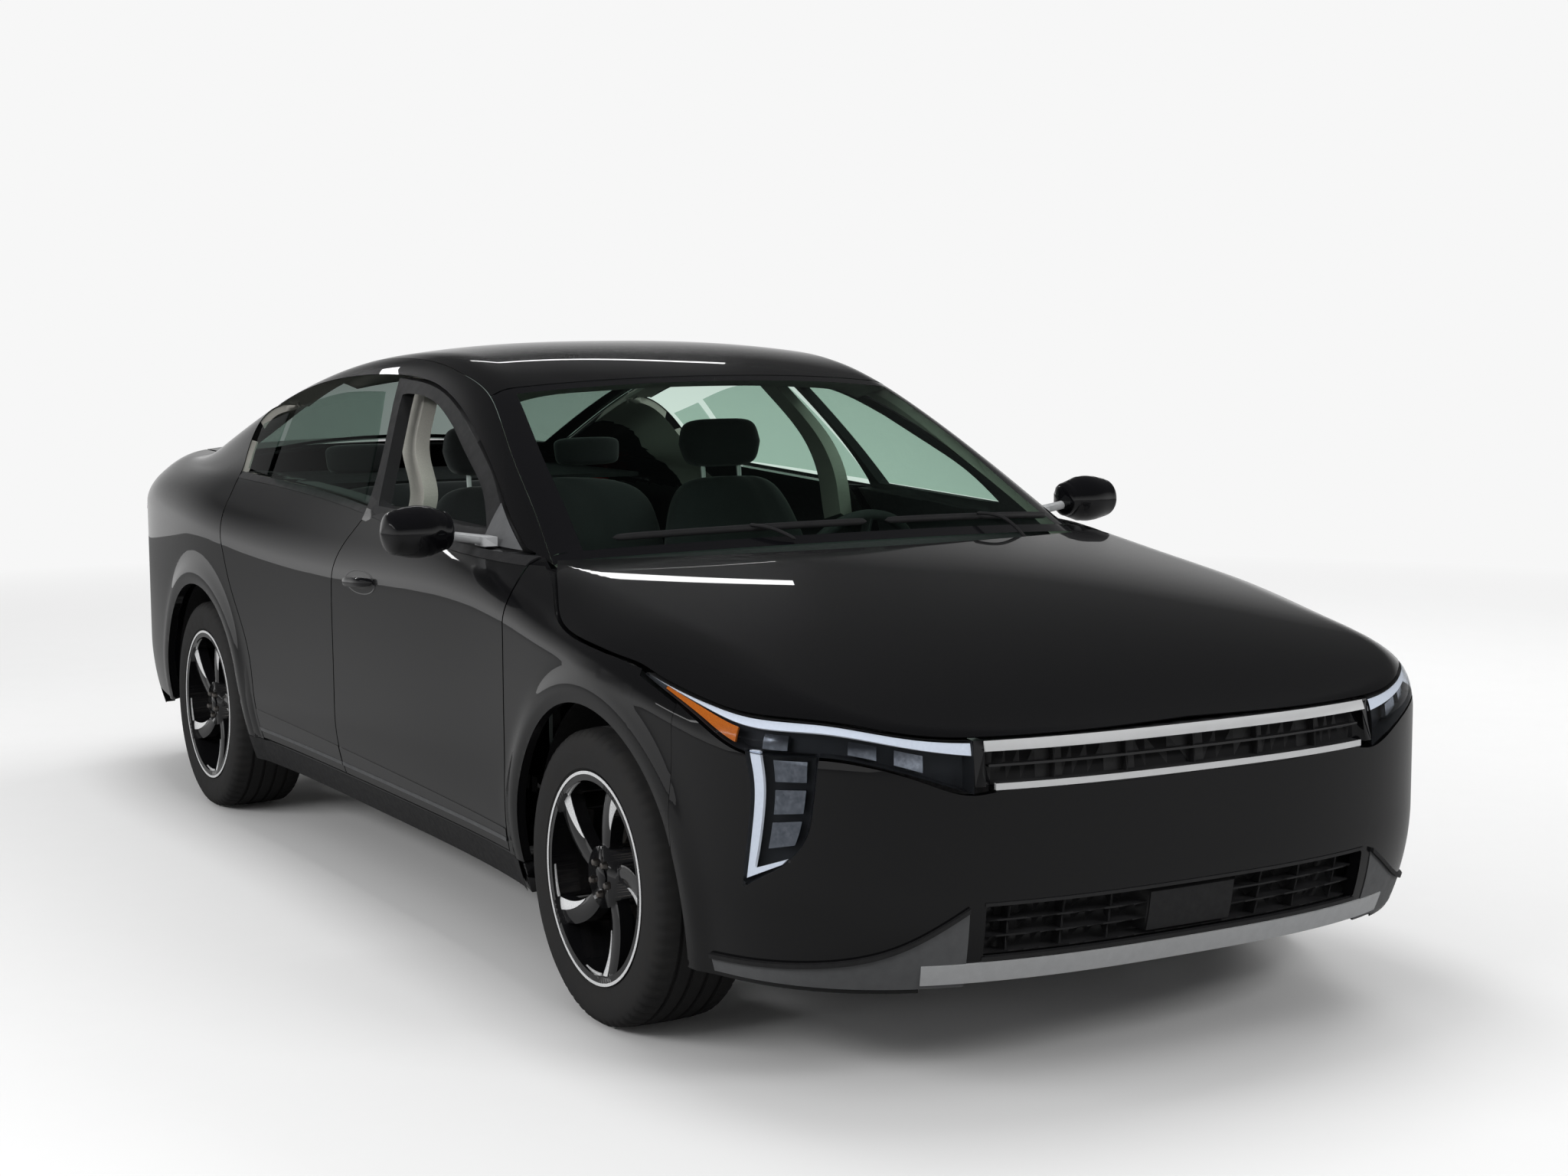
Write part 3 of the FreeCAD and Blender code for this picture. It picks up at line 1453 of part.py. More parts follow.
# Wheels
flange_radius = 227.0
bead_y = 98.3
tyre_points = [(-bead_y, rim_radius + fit), (-bead_y, flange_radius + 2), (-tyre_width / 2, 266),
               (-94, tyre_radius), (94, tyre_radius), (tyre_width / 2, 266), (bead_y, flange_radius + 2),
               (bead_y, rim_radius + fit)]
disc_radius = 150.0
spoke_count = 5


def tyre():
    return turned(tyre_points)


def spoke(turn):
    """One twisted spoke of the wheel's face, from the hub out to the rim."""
    rows, cols = 3, 2
    grid = []
    for i in range(rows + 1):
        t = i / rows
        r = lerp(40, 211, t)
        lean = math.radians(turn) + 0.42 * t ** 1.4
        width = lerp(34, 62, t) / r / 2
        face = lerp(78, 96, t ** 1.5)
        line = []
        for j in range(cols + 1):
            a = lean + lerp(-width, width, j / cols)
            line.append(Vector(r * math.sin(a), face - 4 * abs(j - 1), r * math.cos(a)))
        grid.append(line)
    return skin_solid(grid, shifted(grid, Vector(0, -30, 0)))


def wheel():
    """Rim, hub, brake disc and spokes about the Y axis, with the wheel's middle at y 0."""
    seat_y = bead_y + fit
    rim = turned([(-105, 206), (-105, flange_radius), (-seat_y, flange_radius), (-seat_y, rim_radius),
                  (seat_y, rim_radius), (seat_y, flange_radius), (105, flange_radius), (105, 206)])
    parts = [rim, rod(Vector(0, -60, 0), Vector(0, 84, 0), 66)]
    for k in range(spoke_count):
        parts.append(spoke(k * 360.0 / spoke_count))
    disc = rod(Vector(0, -60, 0), Vector(0, -35, 0), disc_radius)
    hub = rod(Vector(0, hub_face_y + fit - tyre_centre_y, 0), Vector(0, -50, 0), 60)
    return fused(parts + [disc, hub])


wheel_places = [("front_left", front_axle_x, 1), ("front_right", front_axle_x, -1),
                ("rear_left", rear_axle_x, 1), ("rear_right", rear_axle_x, -1)]


def sector(outer, inner, ya, yb, start, sweep):
    """Part of a ring about the front wheel's axis, from a start angle over a sweep."""
    middle = Vector(front_axle_x, ya, tyre_radius)
    ring = Part.makeCylinder(outer, yb - ya, middle, Vector(0, 1, 0), sweep)
    ring = ring.cut(Part.makeCylinder(inner, yb - ya, middle, Vector(0, 1, 0), 360))
    ring.rotate(middle, Vector(0, 1, 0), start)
    return ring


def knuckle_left():
    middle = Vector(front_axle_x, 0, tyre_radius)
    parts = [rod(middle + Vector(0, 668, 0), middle + Vector(0, hub_face_y - 10, 0), 56),
             rod(middle + Vector(0, hub_face_y - 12, 0), middle + Vector(0, hub_face_y, 0), 96),
             box(front_axle_x - 30, front_axle_x + 30, 668, 712, 250, 470),
             Part.makeCylinder(26, 38, Vector(front_axle_x, ball_joint_y, arm_high + fit)),
             Part.makeCylinder(24, 707.3 - fit - 440, Vector(front_axle_x, 645, 440)),
             box(front_axle_x - 26, front_axle_x + 26, 640, 690, 440, 480)]
    caliper = sector(172, 92, hub_face_y - 2, 786, -106, 62)
    caliper = caliper.cut(sector(disc_radius + 4, 80, 732, 764, -120, 90))
    return fused(parts + [caliper])


def both(name, shape):
    keep(name + "_left", shape)
    keep(name + "_right", mirrored(shape))


def pair(shape):
    return Part.makeCompound([shape, mirrored(shape)])


keep("floor_pan", floor_pan())
keep("cowl", cowl())
both("body_side", body_side_left())
keep("roof_panel", roof_panel())
keep("front_structure", front_structure())
keep("front_fenders", pair(front_fender()))
keep("front_bumper", front_bumper())
keep("rear_bumper", rear_bumper())
keep("upper_grille", upper_grille())
keep("lower_grille", lower_grille())
keep("chin_bar", chin_bar())
keep("headlamps", pair(headlamp()))
keep("tail_lamps", pair(tail_lamp()))
keep("windshield", windshield())
keep("rear_window", rear_window())
keep("hood", hood())
keep("trunk_lid", trunk_lid())
both("front_door", front_door())
both("rear_door", rear_door())
keep("glass_front_left", window_glass(front_window))
rear_glasses = Part.makeCompound([window_glass(rear_window_side), window_glass(quarter_window)])
both("glass_rear", rear_glasses)
both("mirror", mirror_left())
keep("dashboard", dashboard().fuse(steering_column()))
keep("steering_wheel", steering_wheel())
keep("front_seats", front_seats())
keep("rear_bench", rear_bench())
keep("parcel_shelf", parcel_shelf())
keep("engine", engine())
keep("front_subframe", front_subframe())
keep("rear_axle_beam", rear_axle_beam())
keep("exhaust", exhaust())
keep("fuel_tank", fuel_tank())
keep("wheel_liners", wheel_liners())
both("knuckle", knuckle_left())
left_wheel, left_tyre = wheel(), tyre()
for place, axle, side in wheel_places:
    for kind, shape in (("wheel_", left_wheel), ("tyre_", left_tyre)):
        placed = shape.translated(Vector(axle, tyre_centre_y, tyre_radius))
        keep(kind + place, placed if side > 0 else mirrored(placed))

os.makedirs("parts", exist_ok=True)
for name, shape in nodes.items():
    shape.exportStep("parts/" + name + ".step")
    print(name, "solids", len(shape.Solids), "valid", shape.isValid(), "litres", round(shape.Volume / 1e6, 2))
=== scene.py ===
import bmesh
import bpy
import json
import math
import numpy as np
from mathutils import Matrix, Vector

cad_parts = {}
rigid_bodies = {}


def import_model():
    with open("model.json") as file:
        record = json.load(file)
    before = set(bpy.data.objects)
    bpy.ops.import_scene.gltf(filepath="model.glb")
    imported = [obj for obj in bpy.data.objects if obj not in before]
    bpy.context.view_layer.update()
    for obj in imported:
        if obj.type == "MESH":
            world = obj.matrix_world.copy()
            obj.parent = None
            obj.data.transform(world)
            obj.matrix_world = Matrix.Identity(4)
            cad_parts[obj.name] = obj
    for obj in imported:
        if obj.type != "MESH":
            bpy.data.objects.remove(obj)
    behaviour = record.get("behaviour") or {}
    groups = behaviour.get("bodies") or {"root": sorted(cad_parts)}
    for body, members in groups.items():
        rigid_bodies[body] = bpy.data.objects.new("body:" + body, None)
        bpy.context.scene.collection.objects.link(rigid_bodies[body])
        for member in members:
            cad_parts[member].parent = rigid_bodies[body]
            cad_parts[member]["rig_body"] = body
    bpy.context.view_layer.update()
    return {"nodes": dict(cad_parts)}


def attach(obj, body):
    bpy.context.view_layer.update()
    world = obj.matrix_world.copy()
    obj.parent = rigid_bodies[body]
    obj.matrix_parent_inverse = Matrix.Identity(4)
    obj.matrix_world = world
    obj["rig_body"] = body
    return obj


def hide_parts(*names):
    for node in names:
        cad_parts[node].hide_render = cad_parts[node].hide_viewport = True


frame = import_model()
cadNodes = frame["nodes"]
mm = 0.001

# Shapes are worked out in millimetres, in the frame's own axes: x forwards, y left, z up.


# Curves
def curveThrough(points):
    # natural cubic spline y(x): a y0 + b y1 + ((a^3 - a) m0 + (b^3 - b) m1) h^2 / 6, straight past its ends
    data = np.array(sorted(points), float)
    x, y = data[:, 0], data[:, 1]
    h = np.diff(x)
    system, right = np.eye(len(x)), np.zeros(len(x))
    k = np.arange(1, len(x) - 1)
    system[k, k - 1], system[k, k], system[k, k + 1] = h[:-1], 2 * (h[:-1] + h[1:]), h[1:]
    right[1:-1] = 6 * np.diff(np.diff(y) / h)
    m = np.linalg.solve(system, right)
    startSlope = (y[1] - y[0]) / h[0] - h[0] * m[1] / 6
    endSlope = (y[-1] - y[-2]) / h[-1] + h[-1] * m[-2] / 6

    def value(q):
        q = np.asarray(q, float)
        i = np.clip(np.searchsorted(x, q, side="right") - 1, 0, len(x) - 2)
        a, b = (x[i + 1] - q) / h[i], (q - x[i]) / h[i]
        inside = a * y[i] + b * y[i + 1] + ((a ** 3 - a) * m[i] + (b ** 3 - b) * m[i + 1]) * h[i] ** 2 / 6
        before, after = y[0] + (q - x[0]) * startSlope, y[-1] + (q - x[-1]) * endSlope
        return np.where(q < x[0], before, np.where(q > x[-1], after, inside))

    return value


def pathThrough(points):
    # smooth path p(t), t from 0 to 1, one spline for each coordinate over the run between the points
    points = np.array(points, float)
    run = np.concatenate([[0], np.cumsum(np.linalg.norm(np.diff(points, axis=0), axis=1))])
    if len(points) == 2:
        return lambda t: points[0] + (points[1] - points[0]) * np.asarray(t, float)[..., None]
    parts = [curveThrough(list(zip(run, points[:, k]))) for k in range(points.shape[1])]
    return lambda t: np.stack([part(np.asarray(t, float) * run[-1]) for part in parts], axis=-1)


def softMin(a, b, reach):
    # min(a, b) - k^2 reach / 4, with k = max(reach - |a - b|, 0) / reach
    k = np.maximum(reach - np.abs(a - b), 0) / reach
    return np.minimum(a, b) - k * k * reach / 4


def mix(a, b, t):
    return a + (b - a) * t


# The body's surface, from its driving values
body = {
    "frontAxleX": 1485.0, "rearAxleX": -1235.0, "tyreRadius": 317.0, "tyreY": 795.0, "archRadius": 372.0,
    "shutGap": 6.0, "lipHeight": 9.0, "lipRadius": 402.0, "lipWidth": 36.0,
    "doorLow": 285.0, "sillLow": 205.0, "sillHigh": 279.0,
    "plan": [(2355, 0), (2347, 250), (2318, 450), (2262, 620), (2170, 750), (2040, 838), (1850, 890),
             (1485, 921), (1050, 906), (500, 897), (0, 897), (-500, 902), (-900, 914), (-1235, 925),
             (-1600, 913), (-1900, 878), (-2110, 812), (-2240, 700), (-2315, 500), (-2347, 260), (-2355, 0)],
    "stations": [(2355, 420, 60, 610, 180, 0.45), (2165, 430, 55, 630, 140, 0.65),
                 (1960, 450, 45, 660, 100, 1.0), (1820, 470, 40, 690, 90, 1.2),
                 (1550, 480, 38, 745, 90, 1.3), (1250, 480, 42, 780, 90, 1.2),
                 (1000, 470, 58, 810, 100, 1.0), (0, 460, 72, 805, 120, 0.85),
                 (-900, 460, 58, 825, 110, 0.9), (-1235, 480, 35, 850, 110, 0.95),
                 (-1750, 450, 50, 880, 110, 1.1), (-2200, 450, 60, 860, 120, 0.7),
                 (-2355, 430, 80, 800, 200, 0.35)],
    "deck": [(2420, 672), (2317, 702), (2150, 765), (1950, 828), (1700, 884), (1450, 925), (1200, 957),
             (1000, 980), (700, 1015), (300, 1062), (0, 1090), (-600, 1120), (-1200, 1100), (-1500, 1078),
             (-1700, 1068), (-2000, 1066), (-2200, 1068), (-2300, 1070), (-2420, 1072)],
    "deckFall": [(2400, 20), (2150, 34), (1900, 48), (1500, 58), (1100, 52), (0, 50), (-1500, 50),
                 (-2000, 46), (-2400, 40)],
    "cabinWidth": [(1300, 712), (1150, 734), (1000, 754), (800, 774), (500, 792), (0, 804), (-500, 806),
                   (-1000, 799), (-1270, 785), (-1500, 765), (-1900, 720)],
    "belt": [(1300, 938), (1000, 944), (700, 951), (300, 970), (0, 986), (-500, 1010), (-1000, 1027),
             (-1270, 1036), (-1900, 1050)],
    "roof": [(1500, 846), (1230, 940), (1130, 985), (900, 1105), (600, 1250), (350, 1345), (150, 1392),
             (-100, 1418), (-350, 1421), (-700, 1397), (-1000, 1349), (-1300, 1280), (-1600, 1195),
             (-1900, 1105), (-2150, 1030), (-2400, 955)],
    "bow": [(1300, 215), (900, 215), (330, 175), (0, 60), (-400, 0), (-800, -40), (-1300, -120),
            (-1900, -190)],
    "fall": [(1300, 10), (400, 18), (0, 36), (-400, 42), (-1000, 36), (-1400, 32), (-2000, 26)],
    "cabinLean": 0.50, "cabinBulge": 0.00022, "tuckFoot": 180.0,
    "deckHalf": 850.0, "deckPower": 2.2, "deckBlend": 60.0, "bowHalf": 700.0, "roofHalf": 600.0,
    "roofPower": 2.5, "roofBlend": 90.0, "rearBlend": 45.0, "hoodRearX": 1242.0, "hoodSweep": 212.0,
    "hoodHalf": 735.0, "hoodPower": 2.2,
}

outline = np.array([(x, -y) for x, y in (body["plan"][2], body["plan"][1])] + body["plan"]
                   + [(x, -y) for x, y in (body["plan"][-2], body["plan"][-3])], float)
outlineRun = np.concatenate([[0], np.cumsum(np.hypot(*np.diff(outline, axis=0).T))])
outlineRun = outlineRun - outlineRun[2]
planX = curveThrough(list(zip(outlineRun, outline[:, 0])))
planY = curveThrough(list(zip(outlineRun, outline[:, 1])))
planLength = outlineRun[-3]
tuckHeight, tuckDepth, shoulderHeight, shoulderTurn, shoulderLean = [
    curveThrough([(s[0], s[k]) for s in body["stations"]]) for k in (1, 2, 3, 4, 5)]
deckMiddle, deckFall, cabinWidth, belt, roofMiddle, roofBow, roofFall = [
    curveThrough(body[key]) for key in ("deck", "deckFall", "cabinWidth", "belt", "roof", "bow", "fall")]


def lengthAt(x):
    # run along the outline at which it reaches x, by halving
    low, high = np.zeros_like(np.asarray(x, float)), np.full_like(np.asarray(x, float), planLength)
    for _ in range(36):
        middle = (low + high) / 2
        further = planX(middle) > x
        low, high = np.where(further, middle, low), np.where(further, high, middle)
    return low


def planAt(s):
    # outline point and outward normal (y', -x') / |p'| at the run s, mirrored for s < 0
    side, a = np.where(s >= 0, 1.0, -1.0), np.abs(s)
    dx, dy = planX(a + 1) - planX(a - 1), planY(a + 1) - planY(a - 1)
    size = np.hypot(dx, dy)
    return planX(a), side * planY(a), dy / size, -side * dx / size


def sideInset(x, z):
    # tuck (d below^2) + shoulder (lean rise^2 / 2 turn, then straight) - arch lips h exp(-((r - R) / w)^2)
    inset = tuckDepth(x) * (np.maximum(0, tuckHeight(x) - z) / (tuckHeight(x) - body["tuckFoot"])) ** 2
    turn, lean, rise = shoulderTurn(x), shoulderLean(x), z - shoulderHeight(x)
    bent, straight = lean * np.maximum(rise, 0) ** 2 / (2 * turn), lean * (rise - turn / 2)
    inset = inset + np.where(rise > turn, straight, bent)
    for axle in (body["frontAxleX"], body["rearAxleX"]):
        off = (np.hypot(x - axle, z - body["tyreRadius"]) - body["lipRadius"]) / body["lipWidth"]
        inset = inset - body["lipHeight"] * np.exp(-off * off)
    return inset


def deckOver(x, y, distance, place):
    # softMin(deck, shoulder edge): the edge rises sqrt(2 turn d / lean), then d / lean + turn / 2
    turn, lean = shoulderTurn(place), shoulderLean(place)
    distance = np.maximum(distance, 0)
    rise = np.where(distance < lean * turn / 2, np.sqrt(2 * turn * distance / lean),
                    turn / 2 + distance / lean)
    deck = deckMiddle(x) - deckFall(x) * (np.abs(y) / body["deckHalf"]) ** body["deckPower"]
    return softMin(deck, shoulderHeight(place) + rise, body["deckBlend"])


def nearestRun(x, y):
    # run of the outline point nearest to (x, y): a table look-up, then three Newton steps
    tableS = np.linspace(0, planLength, 201)
    tableX, tableY = planX(tableS), planY(tableS)
    x, y = np.ravel(x), np.abs(np.ravel(y))
    s = np.empty_like(x)
    for start in range(0, len(x), 20000):
        part = slice(start, start + 20000)
        s[part] = tableS[np.argmin((tableX - x[part, None]) ** 2 + (tableY - y[part, None]) ** 2, axis=1)]
    for _ in range(3):
        ax, ay = planX(s), planY(s)
        bx, by = (planX(s + 1) - planX(s - 1)) / 2, (planY(s + 1) - planY(s - 1)) / 2
        cx, cy = (planX(s + 8) + planX(s - 8) - 2 * ax) / 64, (planY(s + 8) + planY(s - 8) - 2 * ay) / 64
        slope = (ax - x) * bx + (ay - y) * by
        bend = np.maximum(bx * bx + by * by + (ax - x) * cx + (ay - y) * cy, 0.3)
        s = np.clip(s - np.clip(slope / bend, -30, 30), 0, planLength)
    return s


def bodyTop(x, y):
    # the deck's height over a point, from its distance to the outline
    shape = np.shape(x)
    s = nearestRun(x, y)
    distance = np.hypot(planX(s) - np.ravel(x), planY(s) - np.abs(np.ravel(y)))
    return deckOver(np.ravel(x), np.ravel(y), distance, planX(s)).reshape(shape)


def bodySide(s, z, lift=0.0):
    # outline point moved inwards by the inset; above the shoulder, as far in as the deck is z high
    x, y, nx, ny = planAt(s)
    inset = sideInset(x, z)
    high = (z > shoulderHeight(x) + 20) & (deckOver(x - nx * inset, y - ny * inset, inset, x) < z - 0.2)
    low, deep = inset.copy(), inset + 260
    for _ in range(18):
        middle = (low + deep) / 2
        under = deckOver(x - nx * middle, y - ny * middle, middle, x) < z
        low, deep = np.where(under, middle, low), np.where(under, deep, middle)
    inset = np.where(high, low, inset) - lift
    return np.stack([x - nx * inset, y - ny * inset, z], axis=-1)


def cabinEdge(x, y):
    # rise at which width - lean r - bulge r |r| = y, solved as a quadratic on either side of the belt
    spare, lean, bulge = cabinWidth(x) - y, body["cabinLean"], body["cabinBulge"]
    rise = (np.sqrt(lean * lean + 4 * bulge * np.abs(spare)) - lean) / (2 * bulge)
    return belt(x) + np.sign(spare) * rise


def cabinTop(x, y):
    # softMin(roof, cabin edge), with roof = middle(x + bow (y / 700)^2) - fall (|y| / 600)^2.5
    bowed = x + roofBow(x) * (y / body["bowHalf"]) ** 2
    height = roofMiddle(bowed) - roofFall(x) * (np.abs(y) / body["roofHalf"]) ** body["roofPower"]
    return softMin(height, cabinEdge(x, np.abs(y)), body["roofBlend"])


def cabinHalf(x, z):
    # half width at which the cabin's top is z high, by halving
    low, high = np.full(np.shape(x), 250.0), np.full(np.shape(x), 950.0)
    for _ in range(26):
        middle = (low + high) / 2
        over = cabinTop(x, middle) > z
        low, high = np.where(over, middle, low), np.where(over, high, middle)
    return low


def rearTop(x, y):
    # the higher of deck and cabin, blended
    return -softMin(-bodyTop(x, y), -cabinTop(x, y), body["rearBlend"])


# Seams, as x over z, y over x or z over the run along the outline
frontCut = curveThrough([(205, 1000), (284, 1010), (400, 1040), (560, 1048), (700, 1048), (842, 1046),
                         (890, 1030), (927, 985), (960, 935)])
middleCut = curveThrough([(205, -91), (430, -94), (640, -96), (816, -93), (985, -80), (1192, -190),
                          (1337, -315)])
rearCut = curveThrough([(205, -742), (360, -750), (560, -800), (720, -930), (860, -1005), (1014, -1133),
                        (1060, -1180), (1150, -1236), (1222, -1268)])
seamY = curveThrough([(968, 745), (785, 705), (601, 671), (404, 625), (289, 600), (84, 583), (-107, 570),
                      (-369, 560), (-700, 554), (-1010, 556), (-1262, 559), (-1600, 574), (-1985, 606)])
hoodFrontZ = curveThrough([(0, 701), (465, 698), (544, 700), (624, 707), (788, 729), (961, 734),
                           (1093, 748), (1192, 765), (1321, 792)])
bandLowZ = curveThrough([(504, 592), (610, 628), (698, 652), (790, 664), (968, 668), (1070, 706),
                         (1176, 742), (1321, 784)])
hoodSideZ = curveThrough([(1690, 790), (1510, 811), (1307, 844), (1210, 880), (1100, 918), (1020, 938)])
bumperHigh = curveThrough([(0, 597.7), (300, 597.7), (440, 597.7), (506, 590.7), (610, 622), (698, 647),
                           (790, 659), (968, 663), (1070, 700), (1160, 734)])
railLine = pathThrough([(850, 955), (733, 1012), (593, 1088), (438, 1164), (258, 1238), (123, 1281),
                        (2, 1309), (-151, 1328), (-310, 1334), (-620, 1326), (-900, 1299), (-1120, 1259),
                        (-1256, 1224.5)])
bumperCut, lidArc, tailStart = 1160.0, 612.0, -1985.0
tailCut = planLength - float(lengthAt(tailStart))


def hoodRear(y):
    # x = 1242 - 212 (|y| / 735)^2.2
    return body["hoodRearX"] - body["hoodSweep"] * (np.abs(y) / body["hoodHalf"]) ** body["hoodPower"]


def fenderHigh(x):
    # one shut gap under the hood's side, and under the lamp band ahead of x = 1690
    side = hoodSideZ(np.maximum(x, 1028))
    return np.where(x < 1690, side, bandLowZ(lengthAt(x))) - body["shutGap"]


# Meshes
meshing = {"sharpAngle": 38, "copyAngle": 32, "merge": 0.00005, "step": 0.05, "passes": 3, "near": 0.52,
           "most": 0.7, "past": 0.12, "coreHeight": 550.0, "coreReach": 300.0}


def markSharp(mesh, degrees):
    # sharp edges: those bent by more than the angle, and open borders
    count = np.zeros(len(mesh.edges), int)
    loops = np.empty(len(mesh.loops), int)
    mesh.loops.foreach_get("edge_index", loops)
    np.add.at(count, loops, 1)
    mesh.set_sharp_from_angle(angle=math.radians(degrees))
    marks = np.zeros(len(mesh.edges), bool)
    mesh.attributes["sharp_edge"].data.foreach_get("value", marks)
    mesh.attributes["sharp_edge"].data.foreach_set("value", marks | (count < 2))


def newPiece(name, points, faces, material, owner, thickness=0.0, replaces=()):
    # a smooth mesh on its body; a thickness makes a wall inwards of the surface
    mesh = bpy.data.meshes.new(name)
    mesh.from_pydata((np.asarray(points, float).reshape(-1, 3) * mm).tolist(), [], [list(f) for f in faces])
    mesh.validate()
    mesh.update()
    piece = bpy.data.objects.new(name, mesh)
    bpy.context.scene.collection.objects.link(piece)
    mesh.polygons.foreach_set("use_smooth", [True] * len(mesh.polygons))
    markSharp(mesh, meshing["sharpAngle"])
    if thickness:
        wall = piece.modifiers.new("wall", "SOLIDIFY")
        wall.thickness, wall.offset = thickness * mm, -1
    mesh.materials.append(material)
    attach(piece, owner)
    if replaces:
        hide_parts(*replaces)
    return piece


def gridFaces(rows, cols, closeRows=False, closeCols=False):
    # quads (i, j), (i+1, j), (i+1, j+1), (i, j+1) of a grid of rows x cols points
    i, j = np.meshgrid(np.arange(rows if closeRows else rows - 1), np.arange(cols if closeCols else cols - 1),
                       indexing="ij")
    i2, j2 = (i + 1) % rows, (j + 1) % cols
    return np.stack([i * cols + j, i2 * cols + j, i2 * cols + j2, i * cols + j2], axis=-1).reshape(-1, 4)


def facingOut(points, faces, centre):
    # lists of corners, turned so that the sum of normal . (face middle - centre) is positive
    corners = np.asarray(points).reshape(-1, 3)[np.array([face[:3] for face in faces])]
    a, b, c = corners[:, 0], corners[:, 1], corners[:, 2]
    inwards = np.sum(np.cross(b - a, c - a) * ((a + b + c) / 3 - centre)) < 0
    return [[int(k) for k in face][::-1 if inwards else 1] for face in faces]


def facingSide(points, faces, side):
    # lists of corners, turned so that the normals' y adds up to the sign of side
    corners = np.asarray(points).reshape(-1, 3)[faces[:, :3]]
    total = np.sum(np.cross(corners[:, 1] - corners[:, 0], corners[:, 2] - corners[:, 0])[:, 1])
    return faces[:, ::-1].tolist() if total * side < 0 else faces.tolist()


def mirrorAcross(points, faces):
    return np.asarray(points) * np.array([1, -1, 1]), [list(face)[::-1] for face in faces]


def trimmed(pointOf, rows, cols, cuts):
    # grid over a, b in 0..1; a corner within half a cell of a cut's zero slides onto it along the
    # cut's gradient, q = q - f grad f / |grad f|^2 in cells; what lies past a cut is dropped
    a, b = [q.ravel() for q in np.meshgrid(np.arange(rows + 1.0), np.arange(cols + 1.0), indexing="ij")]
    e = meshing["step"]
    for _ in range(meshing["passes"]):
        here, east, north = [pointOf(p / rows, q / cols) for p, q in ((a, b), (a + e, b), (a, b + e))]
        stepA, stepB = np.zeros_like(a), np.zeros_like(b)
        for cut in cuts:
            f = cut(here)
            fa, fb = (cut(east) - f) / e, (cut(north) - f) / e
            g = fa * fa + fb * fb + 1e-9
            near = np.abs(f) < meshing["near"] * np.sqrt(g)
            stepA, stepB = stepA - np.where(near, f * fa / g, 0), stepB - np.where(near, f * fb / g, 0)
        stepA, stepB = [np.clip(step, -meshing["most"], meshing["most"]) for step in (stepA, stepB)]
        a, b = np.clip(a + stepA, 0, rows), np.clip(b + stepB, 0, cols)
    points = pointOf(a / rows, b / cols)
    east, north = pointOf((a + e) / rows, b / cols), pointOf(a / rows, (b + e) / cols)
    outside = np.zeros(len(a), bool)
    for cut in cuts:
        f = cut(points)
        g = ((cut(east) - f) / e) ** 2 + ((cut(north) - f) / e) ** 2 + 1e-9
        outside |= f > meshing["past"] * np.sqrt(g)
    quads = gridFaces(rows + 1, cols + 1)
    out = outside[quads]
    faces = quads[out.sum(axis=1) == 0].tolist()
    for quad, gone in zip(quads[out.sum(axis=1) == 1], out[out.sum(axis=1) == 1]):
        faces.append([corner for corner, past in zip(quad, gone) if not past])
    used = np.unique(np.concatenate([np.array(face) for face in faces]))
    index = np.full(len(a), -1)
    index[used] = np.arange(len(used))
    faces = [[int(index[corner]) for corner in face] for face in faces]
    points = points[used][:, :3]
    across = abs(points[:, 1].mean()) < meshing["coreReach"]
    core = np.array([0.0 if across else points[:, 0].mean(), 0, meshing["coreHeight"]])
    return points, facingOut(points, faces, core)


def archCut(axle):
    # arch radius - distance from the axle, positive within the arch
    return lambda p: body["archRadius"] - np.hypot(p[:, 0] - axle, p[:, 2] - body["tyreRadius"])


# Finishes
class Flow:
    # a socket of a material's tree; sums, products and powers of it become Math nodes
    def __init__(self, tree, socket):
        self.tree, self.socket = tree, socket

    def make(self, kind, settings=None, inputs=None, output=0):
        node = self.tree.nodes.new(kind)
        for key, value in (settings or {}).items():
            setattr(node, key, value)
        for key, value in (inputs or {}).items():
            if isinstance(value, Flow):
                self.tree.links.new(value.socket, node.inputs[key])
            else:
                node.inputs[key].default_value = value
        return Flow(self.tree, node.outputs[output])

    def maths(self, operation, first, second):
        return self.make("ShaderNodeMath", {"operation": operation}, {0: first, 1: second})

    def __add__(self, other):
        return self.maths("ADD", self, other)

    def __sub__(self, other):
        return self.maths("SUBTRACT", self, other)

    def __rsub__(self, other):
        return self.maths("SUBTRACT", other, self)

    def __mul__(self, other):
        return self.maths("MULTIPLY", self, other)

    def limited(self, low=0.0, high=1.0):
        return self.maths("MINIMUM", self.maths("MAXIMUM", self, low), high)

    def blend(self, dark, light):
        # colour between two colours, by this value
        return self.make("ShaderNodeMix", {"data_type": "RGBA"}, {0: self.limited(), 6: dark, 7: light}, 2)

    def noise(self, scale, detail, roughness=0.55, stretch=(1, 1, 1)):
        place = self.make("ShaderNodeTexCoord", output=3)
        if stretch != (1, 1, 1):
            place = self.make("ShaderNodeMapping", {}, {0: place, 3: stretch})
        return self.make("ShaderNodeTexNoise", {}, {"Vector": place, "Scale": scale, "Detail": detail,
                                                     "Roughness": roughness})

    def bump(self, height, strength, distance):
        return self.make("ShaderNodeBump", {}, {"Height": height, "Strength": strength, "Distance": distance})


